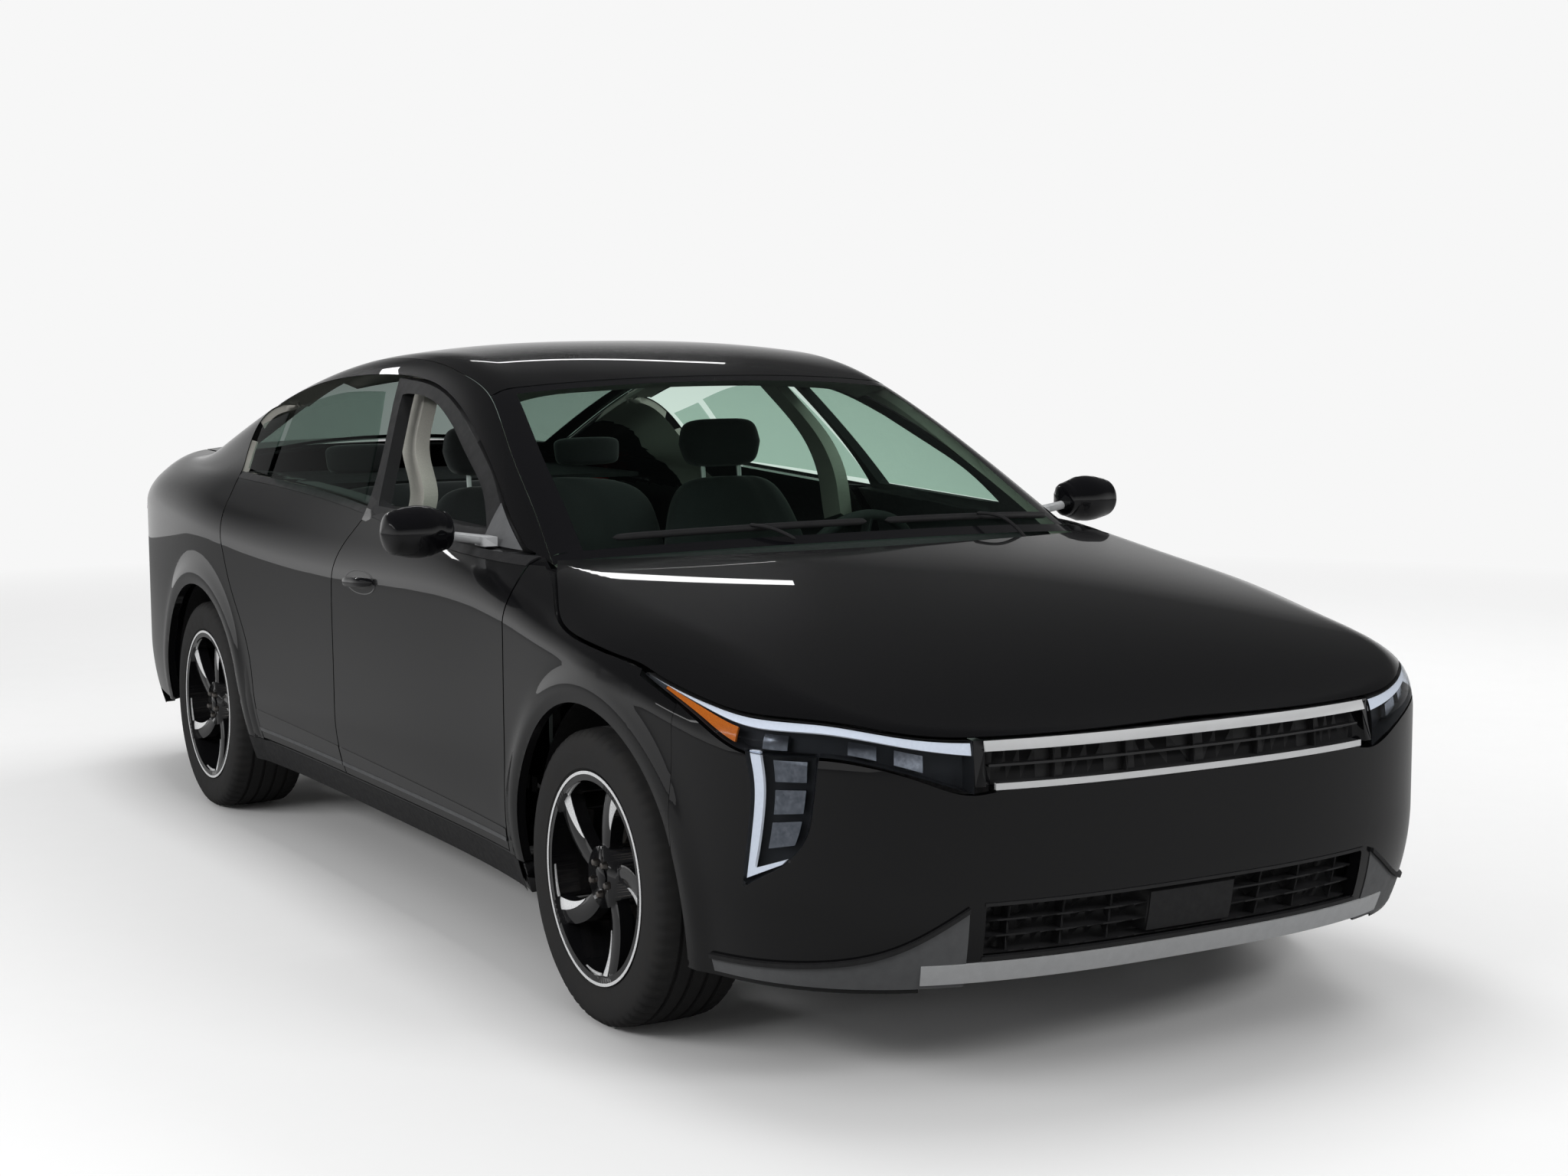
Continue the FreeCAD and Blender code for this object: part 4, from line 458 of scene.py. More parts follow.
def finishOf(name, colour, colour2=None, rough=(0.4, 0.5), metal=0.0, coat=0.0, grain=40.0, bumpSize=0.0,
             bumpScale=None, stretch=(1, 1, 1), specular=0.5, sheen=0.0, glow=0.0, coatRough=0.03):
    # principled finish whose colour and roughness follow a noise, with an optional fine relief
    material = bpy.data.materials.new(name)
    material.use_nodes = True
    tree = material.node_tree
    shader = tree.nodes["Principled BSDF"]
    flow = Flow(tree, shader.outputs[0])
    spots = flow.noise(grain, 5.0, 0.6, stretch)
    spread = ((spots - 0.5) * 2.2 + 0.5).limited()
    tint = spread.blend((*colour, 1), (*(colour2 or [c * 0.82 for c in colour]), 1))
    tree.links.new(tint.socket, shader.inputs["Base Color"])
    tree.links.new((spread * (rough[1] - rough[0]) + rough[0]).socket, shader.inputs["Roughness"])
    shader.inputs["Metallic"].default_value = metal
    shader.inputs["Specular IOR Level"].default_value = specular
    shader.inputs["Coat Weight"].default_value = coat
    shader.inputs["Coat Roughness"].default_value = coatRough
    shader.inputs["Sheen Weight"].default_value = sheen
    if glow:
        shader.inputs["Emission Color"].default_value = (*colour, 1)
        shader.inputs["Emission Strength"].default_value = glow
    if bumpSize:
        relief = flow.noise(bumpScale or grain * 8, 3.0, 0.5, stretch)
        tree.links.new(flow.bump(relief, 0.6, bumpSize * mm).socket, shader.inputs["Normal"])
    return material


def glassOf(name, tint, coverage):
    # tinted clear glass with a gloss of share (0.95 Fresnel + coverage) on its outward faces
    material = bpy.data.materials.new(name)
    material.use_nodes = True
    tree = material.node_tree
    shader, output = tree.nodes["Principled BSDF"], tree.nodes["Material Output"]
    flow = Flow(tree, shader.outputs[0])
    haze = flow.noise(3.0, 3.0)
    shader.inputs["Base Color"].default_value = (0.004, 0.006, 0.006, 1)
    tree.links.new((haze * 0.02 + 0.01).socket, shader.inputs["Roughness"])
    shader.inputs["Coat Weight"].default_value = 1.0
    shader.inputs["Coat Roughness"].default_value = 0.01
    clear = flow.make("ShaderNodeBsdfTransparent", {}, {"Color": (*tint, 1)})
    facing = flow.make("ShaderNodeFresnel", {}, {"IOR": 1.5})
    outerFace = 1.0 - flow.make("ShaderNodeNewGeometry", output="Backfacing")
    share = (facing * 0.95 + coverage).limited() * outerFace
    both = flow.make("ShaderNodeMixShader", {}, {0: share, 1: clear, 2: flow})
    tree.links.new(both.socket, output.inputs["Surface"])
    return material


paint = finishOf("blackPaint", (0.0035, 0.0035, 0.004), (0.0046, 0.0046, 0.0052), rough=(0.28, 0.31),
                 coat=1.0, grain=1500.0, coatRough=0.01, specular=0.08)
paintInner = finishOf("paintUnderside", (0.006, 0.006, 0.007), rough=(0.25, 0.4), coat=0.3, grain=9.0)
glossBlack = finishOf("glossBlack", (0.004, 0.004, 0.005), rough=(0.2, 0.22), coat=1.0, grain=900.0,
                      specular=0.1)
satinBlack = finishOf("satinBlack", (0.020, 0.020, 0.021), rough=(0.42, 0.54), grain=30.0)
grainBlack = finishOf("grainedBlack", (0.018, 0.018, 0.019), rough=(0.5, 0.65), grain=60.0, bumpSize=0.25,
                      bumpScale=900.0)
rubber = finishOf("rubber", (0.017, 0.017, 0.018), (0.026, 0.025, 0.024), rough=(0.62, 0.8), grain=22.0,
                  bumpSize=0.2, bumpScale=700.0)
chrome = finishOf("chrome", (0.90, 0.91, 0.92), (0.84, 0.85, 0.86), rough=(0.08, 0.14), metal=0.4, grain=20.0)
satinSilver = finishOf("satinSilver", (0.60, 0.61, 0.62), (0.54, 0.55, 0.56), rough=(0.28, 0.36), metal=0.3,
                       grain=50.0)
greySatin = finishOf("greySatin", (0.12, 0.123, 0.127), rough=(0.35, 0.45), metal=0.1, grain=40.0)
rimBlack = finishOf("rimBlack", (0.008, 0.008, 0.009), rough=(0.12, 0.2), coat=1.0, grain=30.0)
machined = finishOf("machinedAlloy", (0.88, 0.885, 0.89), (0.80, 0.81, 0.82), rough=(0.2, 0.32), metal=0.15,
                    grain=260.0, stretch=(1, 0.2, 1))
castAlloy = finishOf("castAlloy", (0.33, 0.33, 0.34), (0.24, 0.24, 0.25), rough=(0.5, 0.65), metal=0.8,
                     grain=70.0, bumpSize=0.4, bumpScale=400.0)
brakeSteel = finishOf("brakeSteel", (0.36, 0.355, 0.35), (0.24, 0.2, 0.17), rough=(0.3, 0.5), metal=1.0,
                      grain=120.0)
exhaustSteel = finishOf("exhaustSteel", (0.42, 0.40, 0.37), (0.28, 0.24, 0.2), rough=(0.3, 0.5), metal=1.0,
                        grain=14.0)
underCoat = finishOf("underCoat", (0.03, 0.031, 0.033), (0.045, 0.043, 0.04), rough=(0.6, 0.8), grain=25.0,
                     bumpSize=0.5, bumpScale=300.0)
amber = finishOf("amberReflector", (0.85, 0.22, 0.02), (0.6, 0.12, 0.01), rough=(0.1, 0.2), coat=1.0,
                 grain=400.0)
redLens = finishOf("redLens", (0.42, 0.01, 0.012), (0.22, 0.004, 0.006), rough=(0.08, 0.16), coat=1.0,
                   grain=200.0)
lightStrip = finishOf("lightStrip", (0.90, 0.92, 0.95), (0.80, 0.82, 0.86), rough=(0.12, 0.2), coat=1.0,
                      grain=160.0, glow=0.25)
reflector = finishOf("reflector", (0.55, 0.56, 0.58), (0.3, 0.31, 0.33), rough=(0.08, 0.18), metal=1.0,
                     grain=90.0)
seatCloth = finishOf("seatCloth", (0.030, 0.030, 0.033), (0.018, 0.018, 0.02), rough=(0.75, 0.9), grain=500.0,
                     bumpSize=0.4, bumpScale=1400.0, sheen=0.25)
cabinDark = finishOf("cabinPlastic", (0.028, 0.028, 0.03), rough=(0.5, 0.62), grain=60.0, bumpSize=0.2,
                     bumpScale=800.0)
cabinLight = finishOf("cabinLining", (0.42, 0.41, 0.37), (0.36, 0.35, 0.32), rough=(0.8, 0.92), grain=300.0,
                      bumpSize=0.3, bumpScale=1200.0)
clearGlass = glassOf("windshieldGlass", (0.84, 0.93, 0.88), 0.0)
sideGlass = glassOf("sideGlass", (0.74, 0.82, 0.78), 0.01)
rearGlass = glassOf("rearGlass", (0.52, 0.57, 0.55), 0.02)
lampGlass = glassOf("lampGlass", (0.90, 0.92, 0.95), 0.0)
print("materials ready")


def coons(near, far, first, last):
    # (1-v) near(u) + v far(u) + (1-u) first(v) + u last(v), less the same blend of the four corners
    def patch(u, v):
        u, v = np.asarray(u, float), np.asarray(v, float)
        zero, one = np.zeros_like(u), np.ones_like(u)
        a, b = u[..., None], v[..., None]
        corners = ((1 - a) * (1 - b) * near(zero) + a * (1 - b) * near(one)
                   + (1 - a) * b * far(zero) + a * b * far(one))
        return (1 - b) * near(u) + b * far(u) + (1 - a) * first(v) + a * last(v) - corners

    return patch


def flatLine(x, y):
    # points (x, y) seen from above
    return np.stack([np.broadcast_to(x, np.shape(y)), y], axis=-1)


def panel(name, pointOf, rows, cols, material, owner, cuts=(), mirror=True, **more):
    # skin over a, b in 0..1, and its mirror image on the other side of the car
    points, faces = trimmed(pointOf, rows, cols, cuts)
    owners = owner if isinstance(owner, tuple) else (owner, owner)
    newPiece(name + ("Left" if mirror else ""), points, faces, material, owners[0], **more)
    if mirror:
        newPiece(name + "Right", *mirrorAcross(points, faces), material, owners[1], **more)


# every painted skin stands this far off the body's surface and has this wall
skinLift, skinWall = 0.6, {"thickness": 2.2}
half = body["shutGap"] / 2


def betweenCuts(rear, front, low, high, lift=skinLift):
    # x runs from one cut to the other at its height, z from the lower border to the upper at its x;
    # the two depend on each other and settle in eight rounds from the middle of a door
    def pointOf(a, b):
        x, z = np.full_like(a, 300.0), np.full_like(a, 600.0)
        for _ in range(8):
            x = mix(rear(z), front(z), a)
            z = mix(low(x), high(x), b)
        return bodySide(lengthAt(x), z, lift)

    return pointOf


def always(value):
    # the same value everywhere
    return lambda place: np.zeros_like(np.asarray(place, float)) + value


def nosePatch(first, last, low, high, lift=0.0):
    # s along the outline from the nose, z between two borders over |s|
    def pointOf(a, b):
        s = mix(first, last, a)
        return bodySide(s, mix(low(np.abs(s)), high(np.abs(s)), b), lift)

    return pointOf


def tailPatch(first, last, low, high, lift=0.0):
    # t along the outline from the middle of the tail, z between two heights
    def pointOf(a, b):
        t = mix(first, last, a)
        s = np.where(t >= 0, 1.0, -1.0) * (planLength - np.abs(t))
        return bodySide(s, mix(low, high, b) + 0 * s, lift)

    return pointOf


def topPatch(flat, height, lift=skinLift):
    # height z over a patch (x, y) seen from above, lifted straight up
    def pointOf(a, b):
        p = flat(a, b)
        return np.stack([p[..., 0], p[..., 1], height(p[..., 0], p[..., 1]) + lift], axis=-1)

    return pointOf


# Doors, from the sill to the belt
door = {"rows": 52, "cols": 56, "underBelt": 1,
        "cuts": {"front": (middleCut, frontCut), "rear": (rearCut, middleCut)}}


def doorSpan(place, spare, low, high, lift=skinLift):
    # between a door's own two cuts, half a gap and a spare length inside them
    rear, front = door["cuts"][place]
    return betweenCuts(lambda z: rear(z) + half + spare, lambda z: front(z) - half - spare, low, high, lift)


for place in door["cuts"]:
    span = doorSpan(place, 0, always(body["doorLow"]), lambda x: belt(x) - door["underBelt"])
    panel(f"{place}DoorSkin", span, door["rows"], door["cols"], paint,
          (f"{place}_door_left", f"{place}_door_right"), **skinWall)
print("doors ready")

# Front fenders, with the lip of the wheel arch
fender = {"rows": 96, "cols": 72, "frontX": float(planX(bumperCut)) - 0.6, "lowGap": 0.3}
fenderSpan = betweenCuts(lambda z: frontCut(z) + half, always(fender["frontX"]),
                         always(body["sillHigh"] + fender["lowGap"]), fenderHigh)
panel("fenderSkin", fenderSpan, fender["rows"], fender["cols"], paint, "body",
      [archCut(body["frontAxleX"])], **skinWall)
print("fenders ready")

# Rear quarters: side, shoulder and pillar as one sheet
quarter = {"rows": 80, "cols": 96, "split": 0.62, "rearX": -1985.0, "seam": 1000.0, "railX": -1262.0,
           "pillar": (1040.0, 1078.0, 1150.0, 1218.0), "lowGap": 0.3}


def quarterOuter(u):
    # x along the seam of side and shoulder
    return mix(rearCut(quarter["seam"]) - half, quarter["rearX"], u)


quarterStart = bodySide(lengthAt(quarterOuter(np.zeros(1))), np.array([quarter["seam"]]))[0]
quarterFront = [tuple(quarterStart[:2])]
for z in quarter["pillar"]:
    x = np.array([float(rearCut(z)) - half - 1])
    quarterFront.append((x[0], float(cabinHalf(x, np.array([z]))[0])))
quarterFront.append((quarter["railX"], float(seamY(quarter["railX"]))))
quarterBack = bodySide(lengthAt(np.array([quarter["rearX"]])), np.array([quarter["seam"]]))[0]
quarterFlat = coons(lambda u: bodySide(lengthAt(quarterOuter(u)), quarter["seam"] + 0 * u)[..., :2],
                    lambda u: flatLine(mix(quarter["railX"], quarter["rearX"], u),
                                       seamY(mix(quarter["railX"], quarter["rearX"], u))),
                    pathThrough(quarterFront),
                    pathThrough([tuple(quarterBack[:2]), (quarter["rearX"], float(seamY(quarter["rearX"])))]))


def quarterPoint(a, b):
    # the body's side up to the seam for b below the split, and the deck or cabin over the patch above it
    side = b <= quarter["split"]
    z = mix(body["sillHigh"] + quarter["lowGap"], quarter["seam"], np.minimum(b / quarter["split"], 1))
    low = bodySide(lengthAt(mix(rearCut(z) - half, quarter["rearX"], a)), z, skinLift)
    v = np.maximum(b - quarter["split"], 0) / (1 - quarter["split"])
    flat = quarterFlat(a, v)
    high = np.stack([flat[..., 0], flat[..., 1], rearTop(flat[..., 0], flat[..., 1]) + skinLift], axis=-1)
    return np.where(side[..., None], low, high)


panel("quarterSkin", quarterPoint, quarter["rows"], quarter["cols"], paint, "body",
      [archCut(body["rearAxleX"])], **skinWall)
# the corner over and under the tail lamp, in runs from the middle of the tail
lampT = (lidArc + body["shutGap"], tailCut - 4)
corner = {"first": tailCut - 2, "low": (640, 817.5), "high": 932.5, "split": 0.3,
          "innerX": (-1987.0, -2262.0), "innerY": (606.0, 598.0)}
panel("cornerSkinLow", tailPatch(corner["first"], lampT[0], *corner["low"], skinLift), 40, 20, paint, "body",
      **skinWall)


def cornerTop(a, b):
    # the side up to the seam, then from that edge straight in to the lid's edge, at the height of the deck
    t = mix(corner["first"], lampT[0], a)
    wall = np.minimum(b / corner["split"], 1)
    low = bodySide(planLength - t, mix(corner["high"], quarter["seam"], wall), skinLift)
    edge = bodySide(planLength - t, quarter["seam"] + 0 * t, skinLift)
    v = np.maximum(b - corner["split"], 0) / (1 - corner["split"])
    x, y = mix(edge[..., 0], mix(*corner["innerX"], a), v), mix(edge[..., 1], mix(*corner["innerY"], a), v)
    high = np.stack([x, y, rearTop(x, y) + skinLift], axis=-1)
    return np.where((b <= corner["split"])[..., None], low, high)


panel("cornerSkinHigh", cornerTop, 40, 30, paint, "body", **skinWall)
print("quarters ready")

# Hood: its side edge by places along x, then by runs along the outline up to the nose
hood = {"places": np.array([1020.0, 1100.0, 1210.0, 1307.0, 1410.0, 1510.0, 1600.0]),
        "runs": np.array([1321.0, 1260.0, 1192.0, 1093.0, 961.0, 852.0, 775.0, 700.0]),
        "noseRun": 700.0, "rows": 96, "cols": 72}
hoodSide = [tuple(p[:2]) for p in bodySide(lengthAt(hood["places"]), hoodSideZ(hood["places"]))]
hoodSide += [tuple(p[:2]) for p in bodySide(hood["runs"], hoodFrontZ(hood["runs"]))]
hoodHalf = hoodSide[0][1]
hoodSide[0] = (float(hoodRear(hoodHalf)), hoodHalf)
hoodLine = pathThrough(hoodSide)


def hoodNose(u):
    # the hood's front edge, seen from above
    s = mix(-hood["noseRun"], hood["noseRun"], u)
    return bodySide(s, hoodFrontZ(np.abs(s)))[..., :2]


hoodFlat = coons(lambda u: flatLine(hoodRear(mix(-1, 1, u) * hoodHalf), mix(-1, 1, u) * hoodHalf), hoodNose,
                 lambda v: hoodLine(v) * np.array([1, -1]), hoodLine)
panel("hoodSkin", topPatch(hoodFlat, bodyTop), hood["rows"], hood["cols"], paint, "hood", mirror=False,
      **skinWall)
print("hood ready")

# Roof, rails, the windshield and the rear window
roof = {"frontX": 285.0, "rearX": -1010.0, "glassFrontX": -1014.0, "glassRearX": -1968.0,
        "screenTopX": 289.0, "screenFootX": 972.0, "gap": 1.5, "rearGap": 3.0,
        "footMiddle": 1178.0, "topMiddle": 386.0, "frontMiddle": 382.0, "rearMiddle": -1988.0}


def seamPiece(frontX, rearX, frontMiddle, rearMiddle, gap):
    # patch between the two seams; its front and rear edges are parabolas through their middles
    def side(v):
        x = mix(frontX, rearX, v)
        return flatLine(x, seamY(x) - gap)

    def across(edge, middle, reach):
        return lambda u: flatLine(mix(middle, edge, np.abs(2 * u - 1) ** 2), mix(-reach, reach, u))

    return coons(across(frontX, frontMiddle, float(seamY(frontX)) - gap),
                 across(rearX, rearMiddle, float(seamY(rearX)) - gap),
                 lambda v: side(v) * np.array([1, -1]), side)


screenFlat = seamPiece(roof["screenFootX"], roof["screenTopX"], roof["footMiddle"], roof["topMiddle"],
                       roof["gap"])
roofFlat = seamPiece(roof["frontX"], roof["rearX"], roof["frontMiddle"], roof["rearX"], roof["gap"])
backFlat = seamPiece(roof["glassFrontX"], roof["glassRearX"], roof["glassFrontX"], roof["rearMiddle"],
                     roof["rearGap"])
panel("roofSkin", topPatch(roofFlat, cabinTop), 56, 56, paint, "body", mirror=False, **skinWall)
rail = {"frontX": 968.0, "rearX": -1256.0, "front": (850.0, 955.0), "rear": (-1256.0, 1224.5)}


def railEnd(lower, x):
    # from the door opening's edge at (x, z) = lower to the roof's seam at x
    outer = float(cabinHalf(np.array([lower[0]]), np.array([lower[1]]))[0])
    return pathThrough([(lower[0], outer), (x, float(seamY(x)))])


def railSeam(u):
    # the roof's seam over the rail, seen from above
    x = mix(rail["frontX"], rail["rearX"], u)
    return flatLine(x, seamY(x))


railFlat = coons(lambda u: flatLine(railLine(u)[..., 0], cabinHalf(railLine(u)[..., 0], railLine(u)[..., 1])),
                 railSeam, railEnd(rail["front"], rail["frontX"]), railEnd(rail["rear"], rail["rearX"]))
panel("railSkin", topPatch(railFlat, cabinTop), 90, 8, paint, "body", **skinWall)
for name, flat, glass, node in (("windshieldGlass", screenFlat, clearGlass, "windshield"),
                                ("rearWindowGlass", backFlat, rearGlass, "rear_window")):
    panel(name, topPatch(flat, cabinTop, -0.4), 40, 40, glass, "body", mirror=False, thickness=4.0,
          replaces=[node])
bandShare = 0.045


def outsideBorder(flat):
    # the band of a glass within a share of its edges, as four strips over the same patch
    w = bandShare
    return [lambda a, b: flat(a, b * w), lambda a, b: flat(a, 1 - w + b * w),
            lambda a, b: flat(a * w, w + b * (1 - 2 * w)),
            lambda a, b: flat(1 - w + a * w, w + b * (1 - 2 * w))]


for name, flat in (("windshieldBand", screenFlat), ("rearWindowBand", backFlat)):
    for k, strip in enumerate(outsideBorder(flat)):
        rows, cols = (40, 4) if k < 2 else (4, 40)
        panel(f"{name}{k}", topPatch(strip, cabinTop, 0.1), rows, cols, glossBlack, "body", mirror=False,
              thickness=0.4)
print("roof and glass ready")

# Trunk lid
lid = {"split": 0.42, "low": 640.0, "frontX": -1996.0, "half": 590.0, "power": 1.6}


def lidPoint(a, b):
    # the tail up to the seam, then from that edge to the lid's front edge, at the height of the deck
    t = mix(1 - lidArc, lidArc - 1, a)
    s = np.where(t >= 0, 1.0, -1.0) * (planLength - np.abs(t))
    wall = np.minimum(b / lid["split"], 1)
    low = bodySide(s, mix(lid["low"], quarter["seam"], wall), skinLift)
    edge = bodySide(s, quarter["seam"] + 0 * s, skinLift)
    v = (np.maximum(b - lid["split"], 0) / (1 - lid["split"])) ** lid["power"]
    x, y = mix(edge[..., 0], lid["frontX"], v), mix(edge[..., 1], lid["half"] * t / lidArc, v)
    high = np.stack([x, y, bodyTop(x, y) + skinLift], axis=-1)
    return np.where((b <= lid["split"])[..., None], low, high)


panel("trunkSkin", lidPoint, 72, 60, paint, "trunk_lid", mirror=False, **skinWall)
print("trunk lid ready")

# Bumper covers, with holes for the upright lamps (its two edges as run and height), intake and chin
module = {"inner": [(874, 450), (834, 490), (809, 563), (797, 672)],
          "outer": [(961, 402), (946, 521), (942, 610), (956, 672)]}
bumper = {"rows": 290, "cols": 58, "intake": (478, 274, 376), "chin": (604, 100, 262), "endGap": 0.5,
          "rearGap": 0.6, "rearLow": 215, "rearHigh": 634, "rearRows": 150, "rearCols": 36}
innerLine, outerLine = [curveThrough([(z, s) for s, z in module[edge]]) for edge in ("inner", "outer")]


def moduleHole(p):
    # least distance inside the upright lamp's outline, positive within it
    s, z = p[..., 4], p[..., 2]
    (innerS, innerZ), (outerS, outerZ) = module["inner"][0], module["outer"][0]
    low = z - mix(float(innerZ), float(outerZ), (s - innerS) / (outerS - innerS))
    return np.minimum(np.minimum(s - innerLine(z), outerLine(z) - s), low)


def slotHole(reach, low, high):
    # least distance inside a slot of half length reach between two heights
    return lambda p: np.minimum(reach - p[..., 4], np.minimum(p[..., 2] - low, high - p[..., 2]))


def bumperPoint(a, b):
    # point, then the outline's x and the run, which the cuts measure by
    s = mix(bumper["endGap"] - bumperCut, bumperCut - bumper["endGap"], a)
    z = mix(body["sillLow"], bumperHigh(np.abs(s)), b)
    p = bodySide(s, z, skinLift)
    return np.concatenate([p, planX(np.abs(s))[..., None], np.abs(s)[..., None]], axis=-1)


panel("frontBumperSkin", bumperPoint, bumper["rows"], bumper["cols"], paint, "body",
      [moduleHole, slotHole(*bumper["intake"]), slotHole(*bumper["chin"]), archCut(body["frontAxleX"])],
      mirror=False, **skinWall)
panel("rearBumperSkin", tailPatch(bumper["rearGap"] - tailCut, tailCut - bumper["rearGap"], bumper["rearLow"],
                                  bumper["rearHigh"], skinLift),
      bumper["rearRows"], bumper["rearCols"], paint, "body", [archCut(body["rearAxleX"])], mirror=False,
      **skinWall)
print("bumpers ready")


def recoloured(node, materials, pick=None, shrink=0.0):
    # the node's own solid with its corners merged, drawn in along its normals; pick(centres, normals)
    # shares its faces out among the finishes
    source = cadNodes[node]
    mesh = source.data.copy()
    piece = bpy.data.objects.new(node + "_inner", mesh)
    bpy.context.scene.collection.objects.link(piece)
    shape = bmesh.new()
    shape.from_mesh(mesh)
    bmesh.ops.remove_doubles(shape, verts=shape.verts, dist=meshing["merge"])
    shape.normal_update()
    for vertex in shape.verts:
        vertex.co -= vertex.normal * (shrink * mm)
    shape.to_mesh(mesh)
    shape.free()
    mesh.materials.clear()
    for material in materials:
        mesh.materials.append(material)
    mesh.polygons.foreach_set("use_smooth", [True] * len(mesh.polygons))
    mesh.set_sharp_from_angle(angle=math.radians(meshing["copyAngle"]))
    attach(piece, source["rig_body"])
    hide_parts(node)
    centres, normals = np.empty(len(mesh.polygons) * 3), np.empty(len(mesh.polygons) * 3)
    mesh.polygons.foreach_get("center", centres)
    mesh.polygons.foreach_get("normal", normals)
    centres, normals = centres.reshape(-1, 3) / mm, normals.reshape(-1, 3)
    chosen = pick(centres, normals).astype(int) if pick else np.zeros(len(centres), int)
    mesh.polygons.foreach_set("material_index", chosen)


# Structure under the skins: painted outside, lined inside, dark round the windows
def bodySideParts(c, n):
    # 0 paint, 1 lining of the cabin's upper half, 2 dark middle post and lower inside
    inside = (n[:, 1] * np.sign(c[:, 1]) < -0.15) | (np.abs(c[:, 1]) < 700)
    lining = inside & (c[:, 2] > 900) & (c[:, 0] > -1500) & (c[:, 0] < 1000)
    post = (np.abs(c[:, 0] + 180) < 260) & (c[:, 2] > 990) & ~lining
    return np.where(lining, 1, np.where(post | ((c[:, 2] < 900) & inside), 2, 0))


def doorSides(c, n):
    # 0 paint, 1 dark frame over the belt, 2 inner face
    return np.where(n[:, 1] * np.sign(c[:, 1]) < -0.3, 2, np.where(c[:, 2] > belt(c[:, 0]) - 2, 1, 0))


# how far the copies stand in from the solids: under a skin, as a grille, as a strip's carrier
drawn = {"skin": 3.6, "grille": 0.2, "chin": 1.0, "tailLamp": 2.0, "wheel": 0.3, "mirror": 2.0}
for side in ("left", "right"):
    recoloured(f"body_side_{side}", [paint, cabinLight, satinBlack], bodySideParts, drawn["skin"])
    for place in ("front", "rear"):
        recoloured(f"{place}_door_{side}", [paint, satinBlack, cabinDark], doorSides, drawn["skin"])
recoloured("roof_panel", [paint, cabinLight], lambda c, n: n[:, 2] < -0.3, drawn["skin"])
for node in ("hood", "trunk_lid", "front_fenders", "front_bumper", "rear_bumper"):
    recoloured(node, [paintInner], None, drawn["skin"])
recoloured("upper_grille", [satinBlack, glossBlack], lambda c, n: np.abs(c[:, 1]) > 455, drawn["grille"])
recoloured("lower_grille", [satinBlack], None, drawn["grille"])
recoloured("chin_bar", [satinSilver], None, drawn["chin"])
print("structure ready")

# Nose: strips that follow the bumper's curve, as half length, two heights, lift, wall and finish
strips = {"upperGrilleStrip": (481, 672.5, 691.5, 1.8, 9.0, chrome),
          "lowerGrilleStrip": (461, 599, 611.5, 1.8, 9.0, chrome),
          "chinStrip": (602, 221.5, 262, 5.0, 9.0, satinSilver),
          "grilleSpine": (470, 641, 645.5, -12.5, 8.0, glossBlack),
          "intakeBack": (600, 240, 405, -66.0, 3.0, satinBlack),
          "centrePlate": (105, 285, 365, -10.0, 4.0, grainBlack),
          "intakeLipHigh": (480, 376.5, 383, 3.0, 8.0, satinBlack),
          "intakeLipLow": (480, 266, 273.5, 3.0, 8.0, satinBlack)}
for name, (reach, low, high, lift, wall, material) in strips.items():
    panel(name, nosePatch(-reach, reach, always(low), always(high), lift), 120, 6, material, "body",
          mirror=False, thickness=wall)

# Corner fins: a flap under a falling line, with a lip along that line
fin = {"first": 511.0, "last": 1068.0, "low": 214.0, "lift": 2.4, "lipLow": 5, "lipHigh": 4, "lipLift": 9.0,
       "line": curveThrough([(511, 372), (640, 300), (800, 262), (1068, 246)])}
panel("cornerFin", nosePatch(fin["first"], fin["last"], always(fin["low"]), fin["line"], fin["lift"]), 70, 16,
      greySatin, "body", thickness=6.0)
panel("cornerFinLip", nosePatch(fin["first"], fin["last"], lambda s: fin["line"](s) - fin["lipLow"],
                                lambda s: fin["line"](s) + fin["lipHigh"], fin["lipLift"]),
      70, 4, grainBlack, "body", thickness=12.0)

# Headlamps: a dark tray behind a smoked lens, with a light strip, blocks and the amber reflector
lamp = {"first": 504.0, "last": 1288.0, "depth": 34.0, "stripLift": -5.0, "blocks": (600, 690, 870),
        "blockLength": 56, "rim": 0.1, "ends": 14, "flat": 0.08, "moduleRim": 0.06}


def bandLow(s):
    return bandLowZ(s) + 1


def bandHigh(s):
    return hoodFrontZ(s) - body["shutGap"]


def tray(a, b):
    # the depth rises from 0 at the rim to its full value over a tenth of the width and 14 mm of the length
    s = mix(lamp["first"], lamp["last"], a)
    ends = np.minimum(1, np.minimum(a, 1 - a) * (lamp["last"] - lamp["first"]) / lamp["ends"])
    rise = np.minimum(1, np.minimum(b, 1 - b) / lamp["rim"]) * ends
    z = mix(bandLow(s), bandHigh(s), np.clip((b - lamp["flat"]) / (1 - 2 * lamp["flat"]), 0, 1))
    return bodySide(s, z, -lamp["depth"] * rise)


def bandPart(first, last, a, b, lift):
    # part of the lamp band from run first to last, between two shares of its height
    return nosePatch(first, last, lambda s: mix(bandLow(s), bandHigh(s), a),
                     lambda s: mix(bandLow(s), bandHigh(s), b), lift)


moduleFlat = coons(pathThrough([module["inner"][0], module["outer"][0]]),
                   pathThrough([module["inner"][-1], module["outer"][-1]]),
                   pathThrough(module["inner"]), pathThrough(module["outer"]))


